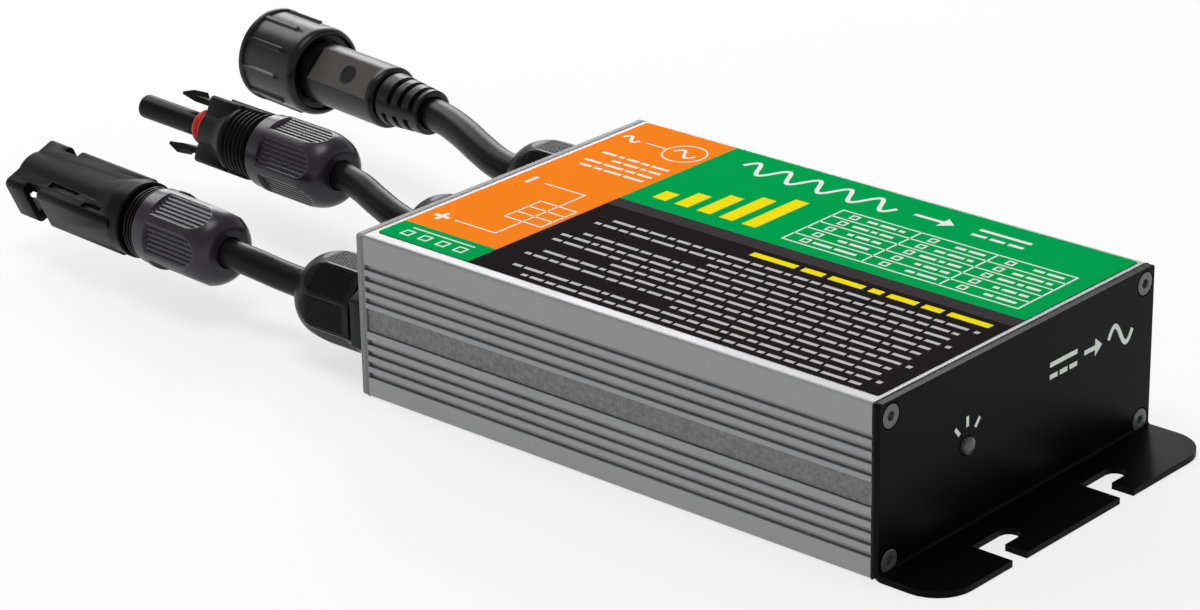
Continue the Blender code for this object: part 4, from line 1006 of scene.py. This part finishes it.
class INVERTER_OT_screws(bpy.types.Operator):
    """Make the countersunk screws of both plates"""

    bl_idname = "inverter.screws"
    bl_label = "Screws"

    def execute(self, context):
        case = context.scene.inverter_case
        for end, facing in (("front", 1), ("rear", -1)):
            for index in range(1, 5):
                self.make_screw(case, f"{end}_screw_{index}", facing)
        return {"FINISHED"}

    def make_screw(self, case, node, facing):
        low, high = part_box(node)
        middle = (low + high) / 2
        head = (high.y - low.y) / 2 / MM
        reach = (high.x - low.x) / MM
        shank = 0.57 * head
        socket, depth = case.socket_size / MM, case.socket_depth / MM
        corner = socket / math.sqrt(3)
        profile = [
            (-depth, 0), (-depth, corner), (0, corner), (0, head), (shank - head, shank),
            (FIT - reach, shank), (-reach, shank - FIT), (-reach, 0),
        ]

        def hexagon(turn, height, radius):
            if radius < corner * 1.01 and height > -1.01 * depth:
                return min(radius, socket / 2 / math.cos(turn_from(turn, 0, FULL_TURN / 6)))
            return radius

        bm = spun(profile, COARSE, closed=False)
        reshape(bm, hexagon)
        break_edges(bm, 0.08)
        face = high.x if facing > 0 else low.x
        place = Matrix.Translation((face, middle.y, middle.z))
        place @= Matrix.Rotation(facing * RIGHT_ANGLE, 4, "Y")
        add_piece(node + "_fine", bm, "screw_steel", [node], place=place)


class INVERTER_OT_lamp(bpy.types.Operator):
    """Make the status lamp's lens in the front plate"""

    bl_idname = "inverter.lamp"
    bl_label = "Status lamp"

    def execute(self, context):
        low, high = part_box("status_led")
        face = -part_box("rear_plate")[0].x
        middle = (low + high) / 2
        step, dome_steps = 0.8, 8
        flange = (high.z - low.z) / 2 / MM
        lens = flange - step
        dome = (high.x - face) / MM
        back = (low.x - face) / MM
        profile = [(back, 0), (back, flange), (back + step, flange), (back + step, lens)]
        for index in range(dome_steps + 1):
            angle = RIGHT_ANGLE * index / dome_steps
            profile.append((dome / 3 + dome * 2 / 3 * math.sin(angle), lens * math.cos(angle)))
        place = Matrix.Translation((face, middle.y, middle.z))
        place @= Matrix.Rotation(RIGHT_ANGLE, 4, "Y")
        lens_shape = spun(profile, COARSE, closed=False)
        add_piece("status_lens", lens_shape, "lamp_lens", ["status_led"], place=place)
        return {"FINISHED"}


class INVERTER_OT_glands(bpy.types.Operator):
    """Make the three cable glands' bodies and dome nuts"""

    bl_idname = "inverter.glands"
    bl_label = "Cable glands"

    def execute(self, context):
        gland = context.scene.inverter_gland
        for lead in LEADS:
            self.make_body(gland, lead)
            self.make_nut(gland, lead)
        return {"FINISHED"}

    def make_body(self, gland, lead):
        bm = bmesh.new()
        bmesh.ops.create_circle(bm, cap_ends=True, segments=6, radius=gland.hexagon / math.sqrt(3))
        bmesh.ops.translate(bm, verts=bm.verts[:], vec=(0, 0, FIT * MM))
        raise_faces(bm, gland.hexagon_height)
        turn_outwards(bm)
        break_edges(bm, 0.6, segments=3)
        neck, bore = 7.2, 4.9
        back, front = -6.8, FIT + gland.hexagon_height / MM + 8.5
        add_bmesh(bm, spun([(back, neck), (front, neck), (front, bore), (back, bore)], COARSE))
        add_piece(
            lead + "_gland_hexagon", bm, "gland_nylon", [lead + "_gland_body"],
            place=gland_matrix(lead),
        )

    def make_nut(self, gland, lead):
        rim = 2 * FIT + gland.hexagon_height / MM
        reach = gland.nut_length / MM
        flat = gland.nut_size / 2 / MM
        sector = FULL_TURN / gland.facets
        ribs = gland.ribs + 2  # with a plain margin on either side of a flat
        rib = sector / ribs
        rib_depth, rib_steps = 0.26, 6
        corner = flat / math.cos(sector / 2)
        hole, clear = cable_size(lead) / MM / 2 + FIT, 7.5
        tip, mouth = rim + reach, hole + 1.2
        straight = rim + 0.52 * reach
        grip_low, grip_high = rim + 1.8, straight + 3.0
        profile = [(rim, clear), (rim, corner - 0.5), (rim + 0.5, corner), (grip_low, corner)]
        profile += wall(corner, grip_low + 0.3, straight, 1.2)
        profile += reversed(quarter_round((tip, mouth), (straight, corner), 18)[1:-1])
        profile += [(tip, mouth), (tip, hole), (rim + 14, hole), (rim + 9, clear)]

        def facet(turn, height, radius):
            offset = turn_from(turn, 0, sector)
            face = flat / math.cos(offset)
            if radius <= face or radius < clear + 0.5:
                return radius
            place = abs(turn_from(offset, 0, rib)) / rib
            groove = rib_depth * plateau(place, 0.24, 1.0, 0.1)
            groove *= plateau(abs(offset), -1.0, sector / 2 - rib, 0.01)
            return face - groove * plateau(height, grip_low, grip_high, 0.3)

        bm = spun(profile, gland.facets * ribs * rib_steps)
        reshape(bm, facet)
        add_piece(
            lead + "_gland_dome", bm, "gland_nylon", [lead + "_gland_nut"],
            place=gland_matrix(lead), sharp=28.0,
        )


class INVERTER_OT_cable_nuts(bpy.types.Operator):
    """Make the ribbed cable nuts of the two panel-lead connectors"""

    bl_idname = "inverter.cable_nuts"
    bl_label = "Cable nuts"

    def execute(self, context):
        settings = context.scene.inverter_lead
        for lead in ("dc_positive", "dc_negative"):
            self.make_nut(settings, lead)
        return {"FINISHED"}

    def make_nut(self, settings, lead):
        radius = settings.nut_diameter / 2 / MM
        reach = settings.nut_length / MM
        flat = settings.nut_flat / 2 / MM
        hole = settings.dc_cable / 2 / MM + FIT
        clear = settings.thread / 2 / MM + FIT
        sector = FULL_TURN / settings.panels
        panel_end = 0.805 * reach
        panel_step, rib_depth, steps = 0.07, 0.4, 80
        dome_end = 0.82 * radius
        profile = [(0, hole), *quarter_round((0, 0.56 * radius), (dome_end, radius), 36)]
        profile += wall(radius, dome_end + 0.4, panel_end, 0.9)
        profile += [
            (panel_end + 0.3, radius), (0.87 * reach, radius), (0.88 * reach, radius - FIT),
            (reach - 0.4, radius - FIT), (reach, radius - 0.7), (reach, clear),
            (0.49 * reach, clear), (0.43 * reach, 6.4), (0.37 * reach, hole),
        ]

        def panel(turn, height, outer):
            offset = turn_from(turn, sector / 2, sector)
            face = flat / math.cos(offset)
            cut = outer - face
            if cut <= 0 or height > panel_end + 0.1:
                return outer
            place = abs(turn_from(offset, 0, settings.rib_angle)) / settings.rib_angle
            groove = rib_depth * plateau(place, 0.28, 1.0, 0.06) * plateau(cut, 0.08, 9.0, 0.1)
            groove *= plateau(height, 0, panel_end - 0.3, 0.4)
            return face - panel_step * plateau(cut, 0.0, 9.0, 0.06) - groove

        bm = spun(profile, settings.panels * steps)
        reshape(bm, panel)
        add_piece(
            lead + "_grip_nut", bm, "nut_plastic", [lead + "_connector_nut"],
            place=lead_matrix(lead), sharp=28.0,
        )


def eared_block(width, thickness, diameter, low, high, corner):
    """A round bar with a flat ear on either side, between two heights."""
    half, thick, radius = width / 2, thickness / 2, diameter / 2
    root = math.asin(thick / radius)
    steps = 14
    outline = []
    for side in (0.0, math.pi):
        way = math.cos(side)
        outline += [(half * way, -thick * way), (half * way, thick * way)]
        for step in range(steps + 1):
            angle = side + root + (math.pi - 2 * root) * step / steps
            outline.append((radius * math.cos(angle), radius * math.sin(angle)))
    bm = bmesh.new()
    bm.faces.new([bm.verts.new((x * MM, y * MM, low * MM)) for x, y in outline])
    raise_faces(bm, (high - low) * MM)
    turn_outwards(bm)
    round_edges(bm, corner_edges(bm), corner, 6)
    return bm


class INVERTER_OT_shell_connector(bpy.types.Operator):
    """Make the shrouded connector's body with its collar, thread and latch windows"""

    bl_idname = "inverter.shell_connector"
    bl_label = "Shrouded connector"

    def execute(self, context):
        thread = context.scene.inverter_lead.thread / 2 / MM
        place = lead_matrix("dc_positive")
        back, front = 35.0, 75.0
        add_piece(
            "dc_positive_shroud", self.shroud(back, front), "connector_plastic",
            ["dc_positive_connector_body"], place=place, sharp=30.0,
        )
        start, bore, root, base, ridge = 13.3, 4, thread - 0.7, 8.3, 9.0
        collar, groove = 31.2, 7.9
        profile = [(start, root), (26.2, root), (26.2, base)]
        for low in (26.4, 27.5, 28.6):
            profile += [(low, base), (low + 0.2, ridge), (low + 0.65, ridge), (low + 0.85, base)]
        profile += [
            (29.6, groove), (collar, groove), (collar, 9.2), (collar + 0.4, 9.55),
            (back - 0.3, 9.55), (back, 9.3), (back, bore), (start, bore),
        ]
        add_piece("dc_positive_collar", spun(profile, FINE), "connector_plastic", place=place)
        return {"FINISHED"}

    def shroud(self, back, front):
        half, thick = 8.8, 5.9
        mouth, mouth_end, past = 5.1, 52.0, front + 1
        cone = [(back, 0), (back, 9.2), (back + 3, 8.8), (47, 6.2), (47, 0)]
        bore = [(mouth_end, 0), (mouth_end, mouth), (past, mouth), (past, 0)]
        cuts = [spun(bore, ROUND, closed=False), block((-7.4, -2.9, 59.4), (7.4, 2.9, past))]
        for facing in (-1, 1):
            cuts.append(side_block(facing, 6.3, 12, (-9, 9), 62.4, 67.8))
            depth = sorted((facing * (thick - 0.7), facing * 9))
            for inner, outer, low, high in ((3.7, 5.5, 50.0, 61.0), (5.6, 7.2, 39.5, 46.0)):
                cuts.append(side_block(facing, inner, outer, depth, low, high))
        changes = [("UNION", spun(cone, ROUND, closed=False))]
        changes += [("DIFFERENCE", cut) for cut in cuts]
        return carved(eared_block(2 * half, 2 * thick, 13.6, back - 0.5, front, 1.6), changes, 0.3)


class INVERTER_OT_nose_connector(bpy.types.Operator):
    """Make the nose connector's body, thread, nose tube and red seal"""

    bl_idname = "inverter.nose_connector"
    bl_label = "Nose connector"

    def execute(self, context):
        settings = context.scene.inverter_lead
        thread, pitch = settings.thread / 2 / MM, settings.thread_pitch / MM
        place = lead_matrix("dc_negative")
        back, front = 37.5, 48.5
        add_piece(
            "dc_negative_block", self.body(back, front), "connector_plastic",
            ["dc_negative_connector_body"], place=place, sharp=30.0,
        )
        start, bore, root = 13.3, 4, thread - 0.7
        collar, ridges, crest = 35.9, 28.2, 8.7
        profile = [
            (start, root), (ridges - 0.5, root), (ridges - 0.5, crest - 0.8),
            (collar, crest - 0.8), (collar, crest - 0.2), (collar + 0.3, crest + 0.1),
            (back - 0.3, crest + 0.1), (back, crest - 0.3), (back, bore), (start, bore),
        ]
        bm = spun(profile, FINE)
        add_thread(bm, crest, 0.75, pitch, ridges - pitch, collar + pitch)
        base, step, tip, inner, outer = 47, 53.3, 76.0, 1.9, 3.1
        nose = [
            (base, 2.6), (step, 2.6), (step, outer), (tip - 0.4, outer), (tip, 2.75), (tip, inner),
            (base, inner),
        ]
        add_bmesh(bm, spun(nose, COARSE))
        add_piece("dc_negative_nose", bm, "connector_plastic", place=place)
        self.make_seal(place)
        return {"FINISHED"}

    def body(self, back, front):
        cone = [(back, 0), (back, 8.3), (back + 1.5, 7.8), (45, 5.2), (45, 0)]
        changes = [("UNION", spun(cone, ROUND, closed=False))]
        for facing in (-1, 1):
            slot = side_block(facing, 4.6, 17, (-2.8, 2.8), 43, front + 5)
            changes.append(("DIFFERENCE", slot))
        bm = carved(eared_block(17.4, 8.8, 11.4, back - 0.5, front, 1.2), changes, 0.3)
        for facing in (-1, 1):
            fin = side_block(facing, 6.0, 8.75, (-3.4, 3.4), 29.4, back + 0.4)
            break_edges(fin, 0.6, segments=3)
            add_bmesh(bm, fin)
        return bm

    def make_seal(self, place):
        low, reach, inner, outer, dip, steps = 48.8, 4.2, 2.9, 4.55, 0.8, 24
        profile = [(low, inner)]
        for step in range(steps + 1):
            share = step / steps
            swell = abs(math.sin(FULL_TURN * share)) ** 0.6
            profile.append((low + reach * share, outer - dip * (1 - swell)))
        profile.append((low + reach, inner))
        add_piece(
            "dc_negative_red_seal", spun(profile, ROUND), "red_rubber", ["dc_negative_nose_seal"],
            place=place,
        )


class INVERTER_OT_plug(bpy.types.Operator):
    """Make the mains connector's moulded body with its strain relief, flat and roundel"""

    bl_idname = "inverter.plug"
    bl_label = "Mains connector"

    def execute(self, context):
        ring = context.scene.inverter_ring
        hole = cable_size("ac") / 2 / MM + FIT
        radius, flat = ring.body / 2 / MM, ring.flat / MM
        relief, end, root = 16.0, 5.8, 7.0
        flat_low, flat_high = 18.0, 42.0
        pitch, slot, slot_depth = relief / 4, 1.7, 1.15
        collar_back, collar_front, mouth, floor = 46.8, 48.8, 58.8, 48.5
        profile = [(0, hole), (0, end - 0.4)]
        for height in even_rings(0.3, relief - 1.2, 0.15):
            profile.append((height, end + (root - end) * height / relief))
        profile += [(relief - 0.9, root - 0.7), (relief - 0.3, root - 0.7)]
        profile += quarter_round((relief - 0.3, radius - 0.9), (relief + 0.9, radius), 6)
        profile += [(flat_low - 0.1, radius), (flat_low, radius)]
        profile += wall(radius, flat_low + 1, flat_high - 1, 2.0)
        profile += [
            (flat_high, radius), (flat_high + 0.1, radius), (collar_back, radius),
            (collar_back, 10.3), (collar_front, 10.3), (collar_front, 9.1), (mouth, 9.1),
            (mouth, 7.9), (floor, 7.9), (floor, hole),
        ]

        def moulded(turn, height, outer):
            if flat_low - 0.05 < height < flat_high + 0.05 and outer > flat:
                return min(outer, flat / math.cos(min(abs(turn_from(turn, ring.flat_angle)), 1.2)))
            if 0.2 < height < relief - 1.0 and outer > hole + 0.5:
                for index in range(3):
                    for side in (0, 1):
                        low = pitch * (index + 0.35 + 0.5 * side)
                        across = abs(turn_from(turn, RIGHT_ANGLE - math.pi * side))
                        depth = slot_depth * plateau(height, low, low + slot, 0.16)
                        outer -= depth * plateau(across, -9.0, math.radians(78), 0.06)
            return outer

        bm = spun(profile, MOULDED)
        reshape(bm, moulded)
        # The flat's faces take the second finish, painted paler as a stand-in for the light they
        # catch
        for face in bm.faces:
            middle = face.calc_center_median() / MM
            toward = middle.x * math.cos(ring.flat_angle) + middle.y * math.sin(ring.flat_angle)
            if flat_low < middle.z < flat_high and abs(toward - flat) < 0.05:
                face.material_index = 1
        add_bmesh(bm, self.roundel(ring, 28.6))
        add_piece(
            "ac_plug_body", bm, "connector_plastic", ["ac_connector_body"],
            ("ring_plastic", "worn_plastic"), place=lead_matrix("ac"), sharp=24.0,
        )
        return {"FINISHED"}

    def roundel(self, ring, height):
        """A plain disc with a raised rim that stands on the flat."""
        sunk, rim, field = -0.2, 0.12, 0.04
        profile = [(sunk, 0), (sunk, 2.6), (rim, 2.6), (rim, 2.25), (field, 2.15), (field, 0)]
        bm = spun(profile, COARSE, closed=False)
        place = Matrix.Rotation(ring.flat_angle, 4, "Z")
        place @= Matrix.Translation((ring.flat, 0, height * MM))
        place @= Matrix.Rotation(RIGHT_ANGLE, 4, "Y")
        bmesh.ops.transform(bm, matrix=place, verts=bm.verts[:])
        return bm


class INVERTER_OT_ring(bpy.types.Operator):
    """Make the mains connector's locking ring with its grip ribs"""

    bl_idname = "inverter.ring"
    bl_label = "Locking ring"

    def execute(self, context):
        settings = context.scene.inverter_ring
        back, front = 44.3, 66.3
        outer = settings.ring / 2 / MM
        height_out = settings.rib_height / MM
        plain = outer - height_out
        inner, lip = 10.6, 8.4
        rib_low, rib_high = back + 6.0, front - 1.8
        recess, floor = back + 1.4, back + 2.2
        profile = [(recess, lip), (recess, 9.9), (back + 0.1, 10.15)]
        profile += quarter_round((back, 10.4), (back + 2.4, plain), 8)
        profile += [(rib_low - 0.4, plain), (rib_low, plain), (rib_low + 0.4, plain)]
        profile += wall(plain, rib_low + 2, rib_high - 2, 2.0)
        profile += [
            (rib_high - 0.1, plain), (rib_high, outer - 0.15), (rib_high + 0.4, outer),
            (front - 0.5, outer), (front - 0.1, outer - 0.4), (front, outer - 0.8),
            (front, inner), (floor, inner), (floor, lip),
        ]
        sector = FULL_TURN / settings.ribs
        half = settings.rib_width / 2

        def ribbed(turn, height, radius):
            if radius < plain - 0.05 or height > rib_high - 0.05:
                return radius
            rib = plateau(turn_from(turn, 0, sector), -half, half, 0.018)
            return radius + height_out * rib * plateau(height, rib_low - 0.1, front, 0.4)

        bm = spun(profile, RIBBED)
        reshape(bm, ribbed)
        break_edges(bm, 0.12)
        add_piece(
            "ac_locking_ring", bm, "connector_plastic", ["ac_coupling_ring"], ["ring_plastic"],
            body="coupling_ring", place=lead_matrix("ac"), sharp=30.0,
        )
        return {"FINISHED"}


class INVERTER_OT_cords(bpy.types.Operator):
    bl_idname = "inverter.cords"
    bl_label = "Cords"

    def execute(self, context):
        return {"FINISHED"}


class INVERTER_OT_stage(bpy.types.Operator):
    """Set the pale floor, the room's light and the lamps"""

    bl_idname = "inverter.stage"
    bl_label = "Stage"

    def execute(self, context):
        stage = context.scene.inverter_stage
        self.make_floor(stage)
        self.make_room(context, stage)
        self.add_lamp(context, "key_lamp", (-0.05, -0.1, 0.9), (0.42, 0.42), stage.key_power)
        self.add_lamp(context, "back_lamp", (-0.95, 1.0, 0.62), (0.6, 0.6), stage.back_power)
        self.add_lamp(context, "side_lamp", (-1.1, 0.28, 0.82), (0.6, 0.35), stage.side_power)
        context.scene.view_settings.view_transform = "Standard"
        return {"FINISHED"}

    def make_floor(self, stage):
        """A pale floor that keeps the shadow and turns to plain white away from the part."""
        bm = bmesh.new()
        bmesh.ops.create_grid(bm, x_segments=1, y_segments=1, size=stage.floor_size / 2)
        floor = new_object("pale_floor", bm)
        material = bpy.data.materials.new("pale_floor")
        material.use_nodes = True
        floor.data.materials.append(material)
        tree = material.node_tree
        shader = tree.nodes["Principled BSDF"]
        feed(tree, shader, {
            "Base Color": opaque((stage.floor_shade,) * 3), "Roughness": 0.9,
            "Specular IOR Level": 0.0,
        })
        where = add_node(tree, "TexCoord").outputs["Object"]
        reach = add_node(tree, "VectorMath", {0: where}, operation="LENGTH").outputs["Value"]
        ray = add_node(tree, "LightPath").outputs
        seen = worked_out(tree, "MAXIMUM", ray["Is Camera Ray"], ray["Is Glossy Ray"])
        seen = worked_out(tree, "MAXIMUM", seen, ray["Is Transmission Ray"])
        shaded, clear = 0.12, 0.4  # metres from the part
        glow = remapped(tree, reach, shaded, clear, stage.floor_glow)
        mix = add_node(tree, "MixShader", {
            "Fac": worked_out(tree, "MULTIPLY", seen, glow),
            1: shader.outputs["BSDF"],
            2: add_node(tree, "Emission").outputs["Emission"],
        })
        feed(tree, tree.nodes["Material Output"], {"Surface": mix.outputs["Shader"]})

    def make_room(self, context, stage):
        """White light from low down all round, and less of it from overhead."""
        world = bpy.data.worlds.new("white_room")
        world.use_nodes = True
        context.scene.world = world
        tree = world.node_tree
        where = add_node(tree, "TexCoord").outputs["Generated"]
        height = add_node(tree, "SeparateXYZ", {"Vector": where}).outputs["Z"]
        white_below, overhead = 0.1, 0.36
        light = remapped(tree, height, white_below, overhead, 1.0, stage.room_light)
        feed(tree, tree.nodes["Background"], {"Color": opaque(EVEN), "Strength": light})

    def add_lamp(self, context, name, place, size, watts):
        data = bpy.data.lights.new(name, "AREA")
        data.shape = "RECTANGLE"
        data.size, data.size_y = size
        data.energy = watts
        lamp = bpy.data.objects.new(name, data)
        lamp.location = place
        aim = Vector((0, 0, 0.02)) - Vector(place)
        lamp.rotation_euler = aim.to_track_quat("-Z", "Y").to_euler()
        context.scene.collection.objects.link(lamp)


class INVERTER_PT_sidebar(bpy.types.Panel):
    """Buttons for each group of pieces"""

    bl_idname = "INVERTER_PT_sidebar"
    bl_label = "Micro Inverter"
    bl_space_type = "VIEW_3D"
    bl_region_type = "UI"
    bl_category = "Micro Inverter"

    def draw(self, context):
        for operator in OPERATORS:
            self.layout.operator(operator.bl_idname)


SETTINGS = {
    "inverter_stage": StageSettings,
    "inverter_case": CaseSettings,
    "inverter_label": LabelSettings,
    "inverter_gland": GlandSettings,
    "inverter_lead": LeadSettings,
    "inverter_ring": RingSettings,
}
OPERATORS = (
    INVERTER_OT_camera,
    INVERTER_OT_leads,
    INVERTER_OT_case,
    INVERTER_OT_label,
    INVERTER_OT_signs,
    INVERTER_OT_screws,
    INVERTER_OT_lamp,
    INVERTER_OT_glands,
    INVERTER_OT_cable_nuts,
    INVERTER_OT_shell_connector,
    INVERTER_OT_nose_connector,
    INVERTER_OT_plug,
    INVERTER_OT_ring,
    INVERTER_OT_cords,
    INVERTER_OT_stage,
)


def register():
    for cls in (*SETTINGS.values(), *OPERATORS, INVERTER_PT_sidebar):
        bpy.utils.register_class(cls)
    for name, cls in SETTINGS.items():
        setattr(bpy.types.Scene, name, PointerProperty(type=cls))


def unregister():
    for name in SETTINGS:
        delattr(bpy.types.Scene, name)
    for cls in (INVERTER_PT_sidebar, *reversed(OPERATORS), *SETTINGS.values()):
        bpy.utils.unregister_class(cls)


def main():
    register()
    for operator in OPERATORS:
        getattr(bpy.ops.inverter, operator.bl_idname.split(".")[1])()


if __name__ == "__main__":
    main()
